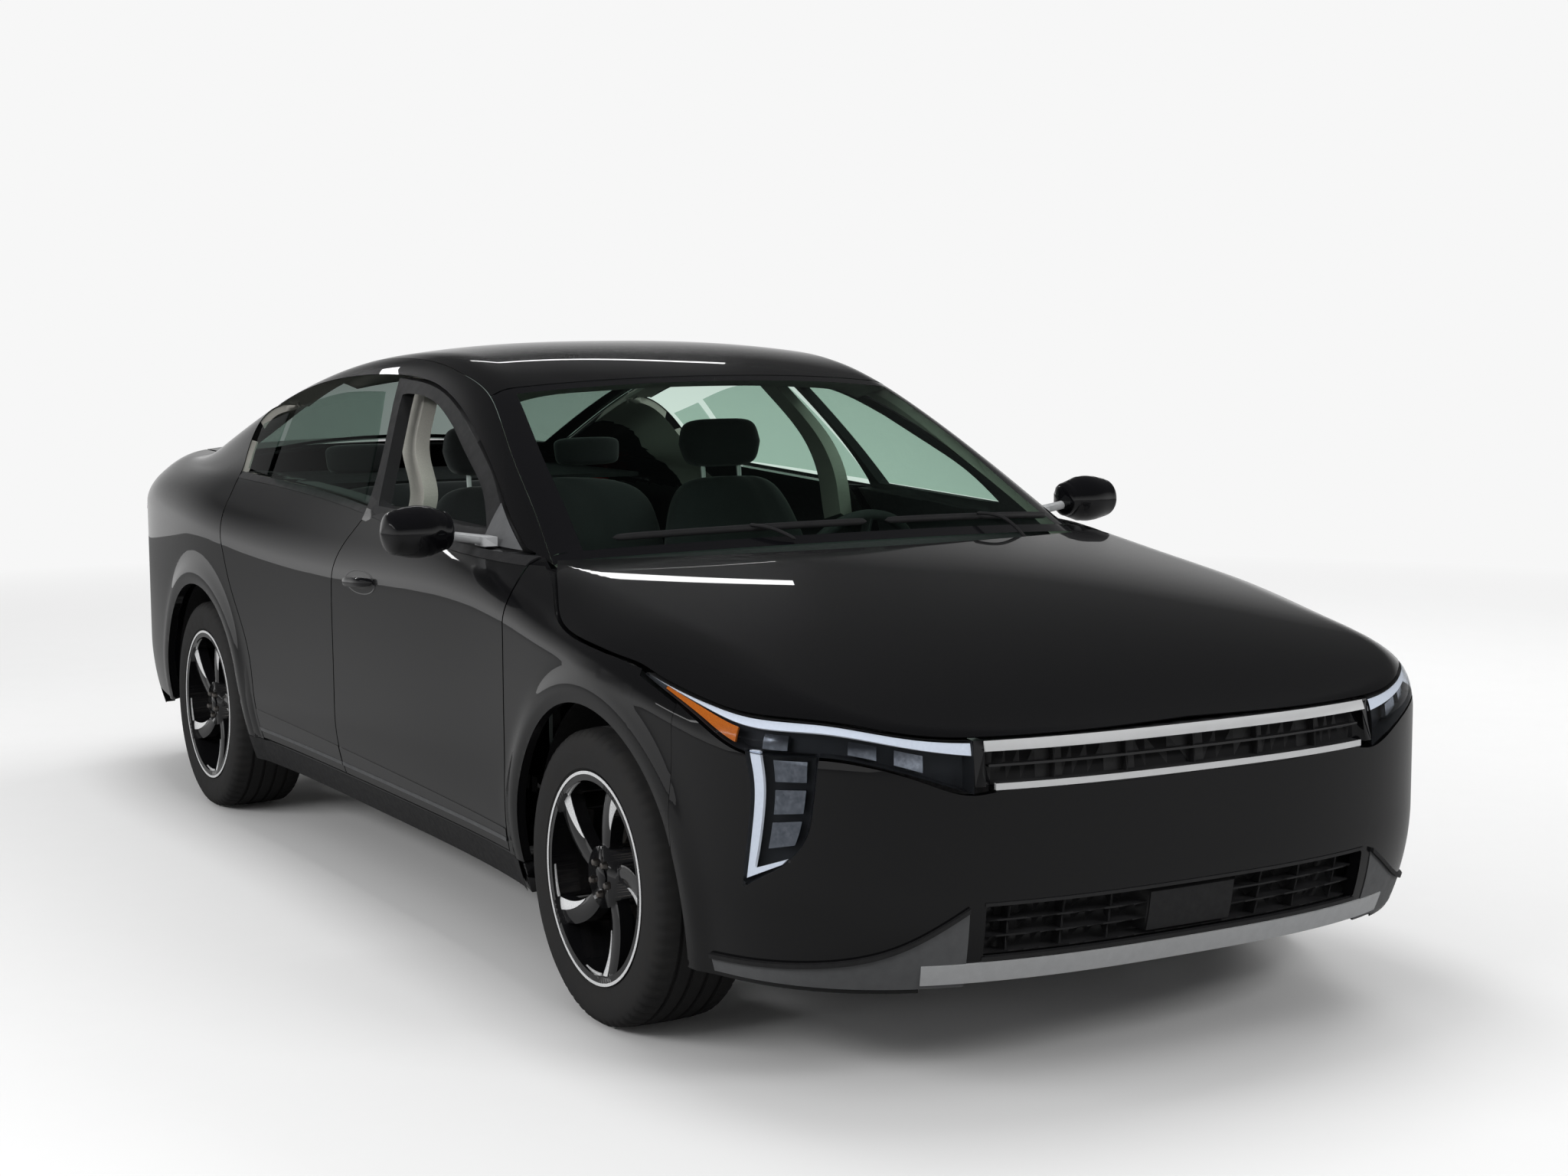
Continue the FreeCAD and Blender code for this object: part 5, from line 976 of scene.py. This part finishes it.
def modulePatch(u0, u1, v0, v1, lift, bowl=0.0):
    # part of the upright lamp's outline, lifted off the bumper; a bowl sinks in from its rim
    def pointOf(a, b):
        flat = moduleFlat(mix(u0, u1, a), mix(v0, v1, b))
        deep = bowl * np.minimum(1, np.minimum(a, 1 - a) / lamp["rim"])
        deep = deep * np.minimum(1, np.minimum(b, 1 - b) / lamp["moduleRim"])
        return bodySide(flat[..., 0], flat[..., 1], lift - deep)

    return pointOf


panel("lampTray", tray, 120, 20, satinBlack, "body")
panel("lampLens", nosePatch(lamp["first"], lamp["last"], bandLow, bandHigh, 0.5), 110, 8, lampGlass, "body",
      thickness=2.0, replaces=["headlamps"])
lampParts = {"lampStrip": (bandPart(507, 1284, 0.72, 0.95, lamp["stripLift"]), 110, 4, lightStrip, 7.0),
             "lampAmber": (bandPart(985, 1215, 0.10, 0.60, -6.0), 40, 6, amber, 5.0)}
for k, first in enumerate(lamp["blocks"]):
    block = bandPart(first, first + lamp["blockLength"], 0.12, 0.56, -17)
    lampParts[f"lampBlock{k}"] = (block, 12, 6, reflector, 10.0)
lampParts.update({
    "moduleTray": (modulePatch(0, 1, 0, 1, 0.0, lamp["depth"]), 30, 50, satinBlack, 0.0),
    "moduleLens": (modulePatch(0, 1, 0, 0.985, 0.6), 24, 40, lampGlass, 2.0),
    "moduleStrip": (modulePatch(0.80, 0.95, 0.06, 0.99, lamp["stripLift"]), 4, 40, lightStrip, 8.0),
    "moduleFoot": (modulePatch(0.12, 0.80, 0.06, 0.12, lamp["stripLift"]), 20, 4, lightStrip, 8.0)})
for k, (low, high) in enumerate(((0.26, 0.46), (0.52, 0.70), (0.76, 0.92))):
    lampParts[f"moduleBlock{k}"] = (modulePatch(0.18, 0.66, low, high, -16), 10, 8, reflector, 8.0)

# Tail lamps, the lid's strip and the diffuser
lampParts.update({
    "tailLens": (tailPatch(lampT[0] + 0.4, lampT[1] - 0.4, 818.4, 931.6, skinLift), 40, 12, redLens, 3.0),
    "tailStrip": (tailPatch(lampT[0] + 14, lampT[1] - 14, 868, 882, 2.4), 40, 4, lightStrip, 3.0)})
for name, (pointOf, rows, cols, material, wall) in lampParts.items():
    panel(name, pointOf, rows, cols, material, "body", thickness=wall)
panel("lidStrip", tailPatch(-585, 585, 866, 880, 3.0), 110, 4, redLens, "trunk_lid", mirror=False,
      thickness=6.0)
panel("rearDiffuser", tailPatch(-900, 900, 222, 330, 2.6), 110, 12, satinBlack, "body", mirror=False,
      thickness=5.0)
recoloured("tail_lamps", [redLens], None, drawn["tailLamp"])
print("lamps ready")


def ring(centre, profile, rows, material, name, owner, notch=None, **more):
    # p = centre + (r sin q, y, r cos q) for a closed profile (y, r), less an optional notch of r over q;
    # the sign of the profile's area tells which way its faces look
    profile = np.array(profile, float)
    q = np.linspace(0, 2 * math.pi, rows, endpoint=False)[:, None]
    y, r = profile[None, :, 0] + 0 * q, profile[None, :, 1] + 0 * q
    if notch:
        r = r - notch(q, y, r)
    points = np.stack([centre[0] + r * np.sin(q), centre[1] + y, centre[2] + r * np.cos(q)], axis=-1)
    faces = gridFaces(rows, len(profile), True, True)
    turned = np.roll(profile, -1, axis=0)
    area = np.sum(profile[:, 0] * turned[:, 1] - profile[:, 1] * turned[:, 0])
    newPiece(name, points, faces[:, ::-1] if area > 0 else faces, material, owner, **more)


# Tyres: four grooves round the tread and notches across its shoulders
tyre = {"grooves": (-56.0, -19.0, 19.0, 56.0), "grooveHalf": 4.5, "grooveDepth": 7.0, "slope": 1,
        "top": 316.6, "round": 3.6, "treadHalf": 92.0, "treadEdge": 312.0, "notches": 66, "notchDepth": 5.0,
        "notchFrom": 84, "notchLow": 298, "notchRamp": 6, "rows": 264,
        "outer": [(102.0, 305.0), (107.0, 296.0), (109.5, 288.0), (111.0, 272.0), (110.0, 250.0),
                  (107.5, 236.0), (107.5, 233.0), (105.0, 231.0), (100.0, 224.0), (96.0, 217.0)],
        "inner": [(86.0, 219.0), (92.0, 245.0), (90.0, 280.0), (74.0, 300.0)]}
tread = [(-tyre["treadHalf"], tyre["treadEdge"])]
for groove in tyre["grooves"]:
    rim = tyre["top"] - tyre["round"] * (groove / tyre["treadHalf"]) ** 2
    wide, narrow = tyre["grooveHalf"] + tyre["slope"], tyre["grooveHalf"] - tyre["slope"]
    tread += [(groove + off, rim - deep) for off, deep in ((-wide, 0), (-narrow, tyre["grooveDepth"]),
                                                           (narrow, tyre["grooveDepth"]), (wide, 0))]
tread.append((tyre["treadHalf"], tyre["treadEdge"]))
tyreProfile = (tread + tyre["outer"] + tyre["inner"] + [(-y, r) for y, r in reversed(tyre["inner"])]
               + [(-y, r) for y, r in reversed(tyre["outer"])])


def shoulderNotch(q, y, r):
    # depth of ((cos(66 q) - 0.62) / 0.2 limited to 0..1), only past the tread's edge and near its height
    wave = np.clip((np.cos(tyre["notches"] * q) - 0.62) / 0.2, 0, 1)
    edge = np.clip((np.abs(y) - tyre["notchFrom"]) / tyre["notchRamp"], 0, 1)
    edge = edge * np.clip((r - tyre["notchLow"]) / tyre["notchRamp"], 0, 1)
    return tyre["notchDepth"] * wave * edge


# Wheels: bright edges on the spokes, arcs and an edge on the rim, nuts and a cap
spoke = {"count": 5, "hub": 40.0, "rim": 211.0, "lean": 0.42, "face": (78.0, 96.0), "width": (34.0, 62.0),
         "first": 0.42, "last": 0.985, "rows": 34, "cols": 7, "lift": 1.2}
arc = {"length": 0.80, "start": 0.13, "outer": 215.0, "inner": 201.0, "taper": 12.0, "y": 98.6, "rows": 30,
       "cols": 5}
nut = {"circle": 36, "profile": [(84.2, 9.0), (90.0, 9.0), (95.5, 7.0), (97.0, 3.0), (97.2, 0.05),
                                 (84.3, 0.05)]}
rimEdge = [(105.6, 219.5), (106.6, 219.5), (106.6, 226.0), (105.6, 226.0)]
hubCap = [(84.2, 24.0), (88.0, 24.0), (90.0, 21.0), (91.0, 0.05), (84.3, 0.05)]
brake = {"behind": 20, "radius": 160}


def spokeFace(turn, t, w):
    # r from hub to rim, angle = turn + 0.42 t^1.4 + w width / 2 r, face y rising as t^1.5, less 4 w^2
    r = mix(spoke["hub"], spoke["rim"], t)
    a = turn + spoke["lean"] * t ** 1.4 + w * mix(*spoke["width"], t) / r / 2
    y = mix(*spoke["face"], t ** 1.5) - 4 * w * w + spoke["lift"]
    return np.stack([r * np.sin(a), y, r * np.cos(a)], axis=-1)


def unitGrid(rows, cols, first=0.0, last=1.0):
    return np.meshgrid(np.linspace(first, last, rows), np.linspace(0.0, 1.0, cols), indexing="ij")


# the edge is 0.98 of the half width out, and widens inwards by 0.95 ((t - first) / length)^0.7
t, w = unitGrid(spoke["rows"], spoke["cols"], spoke["first"], spoke["last"])
spokeSpan = (t - spoke["first"]) / (spoke["last"] - spoke["first"])
spokeEdge = [spokeFace(2 * math.pi * k / spoke["count"], t, mix(0.98, 0.98 - 0.95 * spokeSpan ** 0.7, w))
             for k in range(spoke["count"])]
q, w = unitGrid(arc["rows"], arc["cols"], 0.0, arc["length"])
arcRadius = mix(arc["outer"], arc["inner"] + arc["taper"] * q / arc["length"], w)
wheels = {"front_left": ("frontAxleX", 1), "front_right": ("frontAxleX", -1),
          "rear_left": ("rearAxleX", 1), "rear_right": ("rearAxleX", -1)}
for place, (axle, side) in wheels.items():
    centre = np.array([body[axle], side * body["tyreY"], body["tyreRadius"]])
    flip = np.array([1, side, 1])
    owner = f"wheel_{place}"

    def brakeSide(c, n):
        behind = (c[:, 1] - centre[1]) * side < brake["behind"]
        return behind & (np.hypot(c[:, 0] - centre[0], c[:, 2] - centre[2]) < brake["radius"])

    def turned(profile):
        return [(side * y, r) for y, r in profile]

    ring(centre, tyreProfile, tyre["rows"], rubber, f"tyre_{place}_tread", owner, shoulderNotch,
         replaces=[f"tyre_{place}"])
    recoloured(owner, [rimBlack, brakeSteel], brakeSide, drawn["wheel"])
    ring(centre, turned(rimEdge), 160, machined, f"rimEdge_{place}", owner)
    for k in range(spoke["count"]):
        a = q + 2 * math.pi * k / spoke["count"] + spoke["lean"] + arc["start"]
        rimArc = np.stack([arcRadius * np.sin(a), 0 * a + arc["y"], arcRadius * np.cos(a)], axis=-1)
        for name, sheet, wall in (("spokeEdge", spokeEdge[k], 1.0), ("rimArc", rimArc, 4.0)):
            points = sheet * flip + centre
            faces = facingSide(points, gridFaces(*sheet.shape[:2]), side)
            newPiece(f"{name}_{place}_{k}", points, faces, machined, owner, thickness=wall)
        a = 2 * math.pi * (k + 0.5) / spoke["count"]
        ring(centre + nut["circle"] * np.array([math.sin(a), 0, math.cos(a)]), turned(nut["profile"]), 6,
             brakeSteel, f"nut_{place}_{k}", owner)
    ring(centre, turned(hubCap), 48, glossBlack, f"hubCap_{place}", owner)
print("wheels ready")


def slab(name, line, widths, depths, squareness, material, owner, y=0.0, rows=44, cols=40, stitch=0.0,
         **more):
    # closed form round a line: section (W cos, T sin) with powers 2/n, ends drawn in by (1-|2u-1|^5)^(1/5),
    # and a stitched channel of depth stitch exp(-((|w| - 0.62) / 0.05)^2) along both sides
    path = pathThrough([(x, 0.0, z) for x, z in line])
    u = 0.5 - 0.5 * np.cos(np.linspace(0, math.pi, rows))[:, None]
    q = np.linspace(0, 2 * math.pi, cols, endpoint=False)[None, :]
    sideways = np.array([0.0, 1.0, 0.0])
    along = path(np.clip(u[:, 0] + 0.01, 0, 1)) - path(np.clip(u[:, 0] - 0.01, 0, 1))
    normal = np.cross(along / np.linalg.norm(along, axis=1, keepdims=True), sideways)
    draw = np.maximum(1 - np.abs(2 * u - 1) ** 5, 1e-6) ** 0.2
    wide, deep = [np.sign(wave) * np.abs(wave) ** (2.0 / squareness) for wave in (np.cos(q), np.sin(q))]
    deep = deep * (1 - stitch * np.exp(-((np.abs(wide) - 0.62) / 0.05) ** 2))
    w, d = [np.interp(u, np.linspace(0, 1, len(sizes)), sizes) * draw for sizes in (widths, depths)]
    points = (path(u[:, 0])[:, None, :] + (w * wide)[..., None] * sideways
              + (d * deep)[..., None] * normal[:, None, :] + np.array([0.0, y, 0.0]))
    flat = points.reshape(-1, 3)
    faces = facingOut(points, gridFaces(rows, cols, False, True), flat.mean(axis=0))
    for start, end in ((0, points[0].mean(axis=0)), ((rows - 1) * cols, points[-1].mean(axis=0))):
        cap = list(range(start, start + cols))
        turn = np.cross(flat[cap[cols // 4]] - flat[start], flat[cap[cols // 2]] - flat[start])
        faces.append(cap if np.dot(turn, end - flat.mean(axis=0)) > 0 else cap[::-1])
    return newPiece(name, points, faces, material, owner, **more)


# Cushions as padded forms: line (x, z), half widths, half depths, squareness and stitch depth
seats = {"y": 370.0, "postOff": (-60, 60),
         "seatCushion": ([(-95, 352), (150, 345), (385, 372)], (215, 236, 225), (58, 62, 48), 3.4, 0.10),
         "seatBack": ([(-75, 400), (-120, 620), (-195, 860), (-250, 1020)], (215, 236, 232, 185),
                      (62, 56, 48, 36), 3.2, 0.12),
         "headRest": ([(-268, 1052), (-276, 1120), (-285, 1190)], (112, 130, 118), (40, 46, 36), 3.0, 0.0),
         "headPost": ([(-262, 985), (-274, 1085)], (7, 7), (7, 7), 2.0),
         "seatBase": ([(-60, 262), (120, 262), (310, 270)], (200, 205, 200), (40, 40, 36), 4.0)}
for side, y in (("Left", seats["y"]), ("Right", -seats["y"])):
    for name in ("seatCushion", "seatBack", "headRest"):
        *form, stitch = seats[name]
        slab(name + side, *form, seatCloth, "body", y, stitch=stitch,
                       replaces=["front_seats"] if name + side == "seatCushionLeft" else ())
    for n, off in enumerate(seats["postOff"]):
        slab(f"headPost{side}{n}", *seats["headPost"], chrome, "body", y + off, rows=12, cols=12)
    slab(f"seatBase{side}", *seats["seatBase"], cabinDark, "body", y, rows=20, cols=24)
bench = {"restY": (-390, 390),
         "benchCushion": ([(-1000, 452), (-800, 452), (-560, 462)], (590, 608, 600), (52, 56, 44), 4.0),
         "benchBack": ([(-1030, 520), (-1120, 760), (-1212, 968)], (590, 606, 590), (50, 52, 34), 4.0),
         "benchRest": ([(-1222, 1008), (-1232, 1098)], (110, 118), (30, 30), 3.0)}
for name in ("benchCushion", "benchBack"):
    slab(name, *bench[name], seatCloth, "body", rows=40, cols=64, stitch=0.10,
                   replaces=["rear_bench"] if name == "benchCushion" else ())
for n, y in enumerate(bench["restY"]):
    slab(f"benchRest{n}", *bench["benchRest"], seatCloth, "body", y, rows=24, cols=28)
recoloured("steering_wheel", [cabinDark])
for node in ("glass_front_left", "glass_rear_left", "glass_rear_right"):
    recoloured(node, [sideGlass])
print("cabin ready")

# Mirrors: a cap turned round a line along y, r = line(y), cut flat behind, with an oval glass
mirror = {"middle": np.array([705.0, 968.0, 992.0]), "back": -33.5, "flat": 0.93, "least": 0.4,
          "reach": (-87.9, 89.9), "glass": (74, 46), "glassOff": 1.5, "inner": 884,
          "line": curveThrough([(-88, 0), (-82, 27), (-62, 49), (-25, 62), (25, 63.5), (60, 55), (80, 35),
                                (90, 0)])}


def aroundGrid(first, last, rows, cols):
    return np.meshgrid(np.linspace(first, last, rows), np.linspace(0, 2 * math.pi, cols, endpoint=False),
                       indexing="ij")


def pairOfPieces(name, points, centre, material, wall=0.0):
    # a closed band of rows on the left front door, and its mirror image on the right one
    faces = facingOut(points, gridFaces(*points.shape[:2], False, True), centre)
    for side, turn in (("left", 1), ("right", -1)):
        newPiece(f"{name}_{side}", points * np.array([1, turn, 1]), [face[::turn] for face in faces],
                 material, f"front_door_{side}", thickness=wall)


y, q = aroundGrid(*mirror["reach"], 40, 48)
r = np.maximum(mirror["line"](y), mirror["least"])
pairOfPieces("mirrorCap", mirror["middle"] + np.stack([np.maximum(r * np.cos(q), mirror["back"]), y,
                                                       mirror["flat"] * r * np.sin(q)], axis=-1),
             mirror["middle"], glossBlack)
t, q = aroundGrid(0.02, 1, 12, 40)
pairOfPieces("mirrorGlass", mirror["middle"] + np.stack([0 * t + mirror["back"] - mirror["glassOff"],
                                                         mirror["glass"][0] * t * np.cos(q),
                                                         mirror["glass"][1] * t * np.sin(q)], axis=-1),
             mirror["middle"], reflector, 1.2)
for side in ("left", "right"):
    recoloured(f"mirror_{side}", [satinSilver, glossBlack], lambda c, n: np.abs(c[:, 1]) > mirror["inner"],
               drawn["mirror"])

# Handles of the front doors: a bar over an oval cup
handle = {"x": 118.0, "z": 818.0, "half": 92.0, "rise": 6, "off": 24.0, "foot": 1.0, "tall": 12.5,
          "deep": 7.5, "cupZ": 816.0, "cupHalf": (112.0, 31.0), "cupCore": 80}


def handleBar(t, q):
    # ellipse of 12.5 x 7.5 mm, drawn in by (1 - |t|^8)^0.5, whose middle stands 24 (1 - |t|^3.5) + 1 off
    x = handle["x"] + handle["half"] * t
    end = np.maximum(1 - np.abs(t) ** 8, 1e-4) ** 0.5
    stand = handle["off"] * (1 - np.abs(t) ** 3.5) + handle["foot"]
    skin = bodySide(lengthAt(x), handle["z"] + handle["rise"] * t + handle["tall"] * end * np.sin(q), 0.0)
    return skin + np.stack([0 * x, stand + handle["deep"] * end * np.cos(q), 0 * x], axis=-1)


def handleCup(t, q):
    # oval on the skin, lifted 1.4 - exp(-((t - 0.75) / 0.5)^2) + 1.2 exp(-((t - 0.97) / 0.03)^2)
    x = handle["x"] + handle["cupHalf"][0] * t * np.cos(q)
    z = handle["cupZ"] + handle["cupHalf"][1] * t * np.sin(q)
    lift = 1.4 - 1.0 * np.exp(-((t - 0.75) / 0.5) ** 2) + 1.2 * np.exp(-((t - 0.97) / 0.03) ** 2)
    return bodySide(lengthAt(x), z, lift)


barPoints = handleBar(*aroundGrid(-1, 1, 48, 24))
cupPoints = handleCup(*aroundGrid(0.03, 1, 20, 64))
pairOfPieces("handleBar", barPoints, barPoints.reshape(-1, 3).mean(axis=0), glossBlack)
pairOfPieces("handleCup", cupPoints, cupPoints.reshape(-1, 3).mean(axis=0) - (0, handle["cupCore"], 0),
             glossBlack)

# Strips along the belt and low on the doors
doorTrim = {"inside": 1, "beltLow": 16, "beltHigh": 0.5, "wedgeLow": 316.0, "wedgeHigh": 372.0,
            "wedgeFrom": -900, "wedgeFall": 0.018, "stripLow": 306.0}


def wedgeHigh(x):
    return doorTrim["wedgeHigh"] - (x - doorTrim["wedgeFrom"]) * doorTrim["wedgeFall"]


trims = {"BeltStrip": (lambda x: belt(x) - doorTrim["beltLow"], lambda x: belt(x) + doorTrim["beltHigh"],
                       3.0, 4, satinBlack, 4.0),
         "LowWedge": (always(doorTrim["wedgeLow"]), wedgeHigh, 2.0, 8, glossBlack, 1.2),
         "LowStrip": (always(doorTrim["stripLow"]), always(doorTrim["wedgeLow"]), 3.4, 3, greySatin, 2.4)}
for place in door["cuts"]:
    for name, (low, high, lift, cols, material, wall) in trims.items():
        panel(place + name, doorSpan(place, doorTrim["inside"], low, high, lift), 60, cols, material,
              (f"{place}_door_left", f"{place}_door_right"), thickness=wall)
panel("sillCover", betweenCuts(always(-850.0), always(1085.0), always(206.0), always(277.0), 0.8), 90, 10,
      grainBlack, "body", thickness=1.0)
sail = {"rearX": 652.0, "frontX": 842.0, "underRail": 9, "overBelt": 2, "least": 3, "lift": 1.0}
railPoints = railLine(np.linspace(0, 0.5, 80))


def sailPoint(a, b):
    # from the belt up to just under the pillar's line, on the cabin's side
    x = mix(sail["rearX"], sail["frontX"], a)
    top = np.interp(-x, -railPoints[:, 0], railPoints[:, 1]) - sail["underRail"]
    z = mix(belt(x) + sail["overBelt"], np.maximum(top, belt(x) + sail["least"]), b)
    return np.stack([x, cabinHalf(x, z) + sail["lift"], z], axis=-1)


panel("sailPanel", sailPoint, 24, 12, greySatin, ("front_door_left", "front_door_right"), thickness=1.0)


def tube(name, line, radius, material, owner, height=1.0, rows=60, cols=12):
    # p = line + R (cos q across + h sin q up), with R = radius (1 - |2t - 1|^30)^0.5
    path = pathThrough(line)
    t = np.linspace(0, 1, rows)
    middle = path(t)[:, None, :]
    along = path(np.clip(t + 0.01, 0, 1)) - path(np.clip(t - 0.01, 0, 1))
    along = along / np.linalg.norm(along, axis=1, keepdims=True)
    across = np.cross(along, np.array([0.0, 0.0, 1.0]))
    across = across / np.linalg.norm(across, axis=1, keepdims=True)
    up = np.cross(across, along)
    q = np.linspace(0, 2 * math.pi, cols, endpoint=False)[None, :, None]
    size = radius * np.maximum(1 - np.abs(2 * t - 1) ** 30, 1e-4)[:, None, None] ** 0.5
    points = middle + size * (np.cos(q) * across[:, None, :] + height * np.sin(q) * up[:, None, :])
    newPiece(name, points, gridFaces(rows, cols, False, True), material, owner)


# Wipers: blades along the screen's foot, x = 1178 - 206 (y / 745)^2 less 62, and arms to their pivots
wiper = {"blades": ((-600.0, 10.0, -330.0), (60.0, 655.0, 330.0)), "foot": 1178, "sweep": 206, "half": 745,
         "ahead": 62, "pivotX": 1196, "pivotOff": 120, "bladeLift": 9, "armLift": 8, "armRise": 17}


def screenFoot(y, first):
    return first - wiper["sweep"] * (y / wiper["half"]) ** 2


for k, (first, last, pivot) in enumerate(wiper["blades"]):
    y = np.linspace(first, last, 9)
    x = screenFoot(y, wiper["foot"]) - wiper["ahead"]
    tube(f"wiperBlade{k}", list(zip(x, y, cabinTop(x, y) + wiper["bladeLift"])), 5.0, satinBlack, "body", 1.7)
    tipY, footY = (first + last) / 2, pivot + wiper["pivotOff"]
    tipX, footX = screenFoot(tipY, wiper["foot"]) - wiper["ahead"], screenFoot(pivot, wiper["pivotX"])
    tipZ, footZ = float(cabinTop(tipX, tipY)), float(cabinTop(footX, footY))
    tube(f"wiperArm{k}", [(tipX, tipY, tipZ + wiper["armRise"]),
                          ((tipX + footX) / 2, (tipY + footY) / 2, tipZ + wiper["armLift"]),
                          (footX, footY, footZ + wiper["armLift"])], 5.5, satinBlack, "body", 0.8, 24)
print("trims ready")

# Plain finishes of what carries the car
bare = {"floor_pan": underCoat, "cowl": satinBlack, "front_structure": paintInner, "engine": castAlloy,
        "front_subframe": underCoat, "rear_axle_beam": underCoat, "exhaust": exhaustSteel,
        "fuel_tank": grainBlack, "wheel_liners": grainBlack, "knuckle_left": brakeSteel,
        "knuckle_right": brakeSteel, "parcel_shelf": cabinDark, "dashboard": cabinDark}
for node, material in bare.items():
    for place in cadNodes[node].material_slots:
        place.material = material

# Camera where the photographer stood
camera = {"place": (5.96245, -3.03167, 1.47438), "turn": 0.525714, "tilt": 0.110225, "roll": -0.0044395,
          "lens": 55.24, "sensor": 36.0, "reach": 200.0}
ahead = Vector((-math.cos(camera["turn"]) * math.cos(camera["tilt"]),
                math.sin(camera["turn"]) * math.cos(camera["tilt"]), -math.sin(camera["tilt"])))
photoCamera = bpy.data.objects.new("photoCamera", bpy.data.cameras.new("photoCamera"))
bpy.context.scene.collection.objects.link(photoCamera)
photoCamera.data.lens, photoCamera.data.sensor_width = camera["lens"], camera["sensor"]
photoCamera.data.clip_end = camera["reach"]
photoCamera.data.dof.use_dof = False
facing = ahead.to_track_quat("-Z", "Y").to_matrix().to_4x4() @ Matrix.Rotation(camera["roll"], 4, "Z")
photoCamera.matrix_world = Matrix.Translation(camera["place"]) @ facing
bpy.context.scene.camera = photoCamera

# Floor, softboxes and a pale surround: the softboxes by place, aim, size, power and whether they mirror;
# mirrored rays see a dimmer room, darker still towards the ceiling
studio = {"floorHalf": 11.0, "floorColour": (0.80, 0.80, 0.80), "floorSpot": (0.78, 0.78, 0.78),
          "floorFar": (0.20, 0.20, 0.20, 1), "surround": (0.93, 0.93, 0.93, 1), "fadeFrom": 4.0,
          "fadeRate": 0.2, "roomStrength": 0.62, "ceilingStrength": 0.05, "ceilingRate": 3.2,
          "ceilingStart": 0.12,
          "boxes": [((1.0, -7.5, 4.2), (0.2, 0.0, 0.6), (8.0, 1.4), 330.0, False),
                    ((8.5, 3.5, 5.0), (1.0, 0.0, 0.5), (3.0, 2.0), 240.0, False),
                    ((-2.5, 6.5, 6.5), (-0.5, 0.0, 0.8), (6.0, 2.5), 300.0, False),
                    ((-1.5, 0.0, 8.0), (-0.8, 0.0, 0.0), (2.4, 5.0), 260.0, False),
                    ((-6.0, 2.4, 4.6), (0.8, 0.4, 0.8), (3.0, 0.12), 5.0, True),
                    ((-7.5, -1.6, 4.2), (0.8, 0.0, 0.8), (2.2, 0.22), 9.0, True),
                    ((-1.0, -8.0, 3.4), (0.4, -0.4, 0.8), (6.0, 0.25), 12.0, True)]}
floorMesh = bpy.data.meshes.new("floor")
reach = studio["floorHalf"]
floorMesh.from_pydata([(-reach, -reach, 0), (reach, -reach, 0), (reach, reach, 0), (-reach, reach, 0)], [],
                      [(0, 1, 2, 3)])
floor = bpy.data.objects.new("floor", floorMesh)
bpy.context.scene.collection.objects.link(floor)
floorPaint = finishOf("floorPaint", studio["floorColour"], studio["floorSpot"], rough=(0.55, 0.65), grain=2.0)
floorMesh.materials.append(floorPaint)
floorTree = floorPaint.node_tree
floorShader = floorTree.nodes["Principled BSDF"]
floorTint = Flow(floorTree, floorShader.inputs["Base Color"].links[0].from_socket)
floorSeen = Flow(floorTree, floorTree.nodes.new("ShaderNodeLightPath").outputs["Is Camera Ray"])
floorTree.links.new(floorSeen.blend(studio["floorFar"], floorTint).socket, floorShader.inputs["Base Color"])
# towards the horizon the floor goes over into the backdrop: share = (distance from the middle - 4) / 5
floorPlace = Flow(floorTree, floorTree.nodes.new("ShaderNodeTexCoord").outputs["Object"])
floorAway = floorPlace.make("ShaderNodeVectorMath", {"operation": "LENGTH"}, {0: floorPlace}, 1)
floorGlow = floorPlace.make("ShaderNodeEmission", {}, {"Color": studio["surround"], "Strength": 1.0})
floorShare = ((floorAway - studio["fadeFrom"]) * studio["fadeRate"]).limited() * floorSeen
floorLit = Flow(floorTree, floorShader.outputs[0])
floorMix = floorPlace.make("ShaderNodeMixShader", {}, {0: floorShare, 1: floorLit, 2: floorGlow})
floorTree.links.new(floorMix.socket, floorTree.nodes["Material Output"].inputs["Surface"])
for k, (place, look, size, power, mirrored) in enumerate(studio["boxes"]):
    light = bpy.data.lights.new(f"softbox{k}", "AREA")
    light.shape, light.size, light.size_y, light.energy = "RECTANGLE", size[0], size[1], power
    holder = bpy.data.objects.new(f"softbox{k}", light)
    bpy.context.scene.collection.objects.link(holder)
    holder.matrix_world = (Matrix.Translation(place)
                           @ (Vector(look) - Vector(place)).to_track_quat("-Z", "Y").to_matrix().to_4x4())
    holder.visible_glossy = mirrored

world = bpy.data.worlds.new("surround")
bpy.context.scene.world = world
world.use_nodes = True
tree = world.node_tree
backdrop, worldOutput = tree.nodes["Background"], tree.nodes["World Output"]
flow = Flow(tree, backdrop.outputs[0])
height = flow.make("ShaderNodeSeparateXYZ", {}, {0: flow.make("ShaderNodeTexCoord", output=0)}, 2)
backdrop.inputs["Color"].default_value = studio["surround"]
backdrop.inputs["Strength"].default_value = studio["roomStrength"]
bright = flow.make("ShaderNodeBackground", {}, {"Color": studio["surround"], "Strength": 1.0})
paths = tree.nodes.new("ShaderNodeLightPath")
camRay, glossy, through = [Flow(tree, paths.outputs[k]) for k in ("Is Camera Ray", "Is Glossy Ray",
                                                                   "Is Transmission Ray")]
ceiling = flow.make("ShaderNodeBackground", {}, {"Color": studio["surround"],
                                                  "Strength": studio["ceilingStrength"]})
above = glossy * (height * studio["ceilingRate"] - studio["ceilingStart"]).limited()
room = flow.make("ShaderNodeMixShader", {}, {0: above, 1: flow, 2: ceiling})
both = flow.make("ShaderNodeMixShader", {}, {0: (camRay + through).limited(), 1: room, 2: bright})
tree.links.new(both.socket, worldOutput.inputs["Surface"])
bpy.context.scene.view_settings.view_transform = "Standard"
print("studio ready")
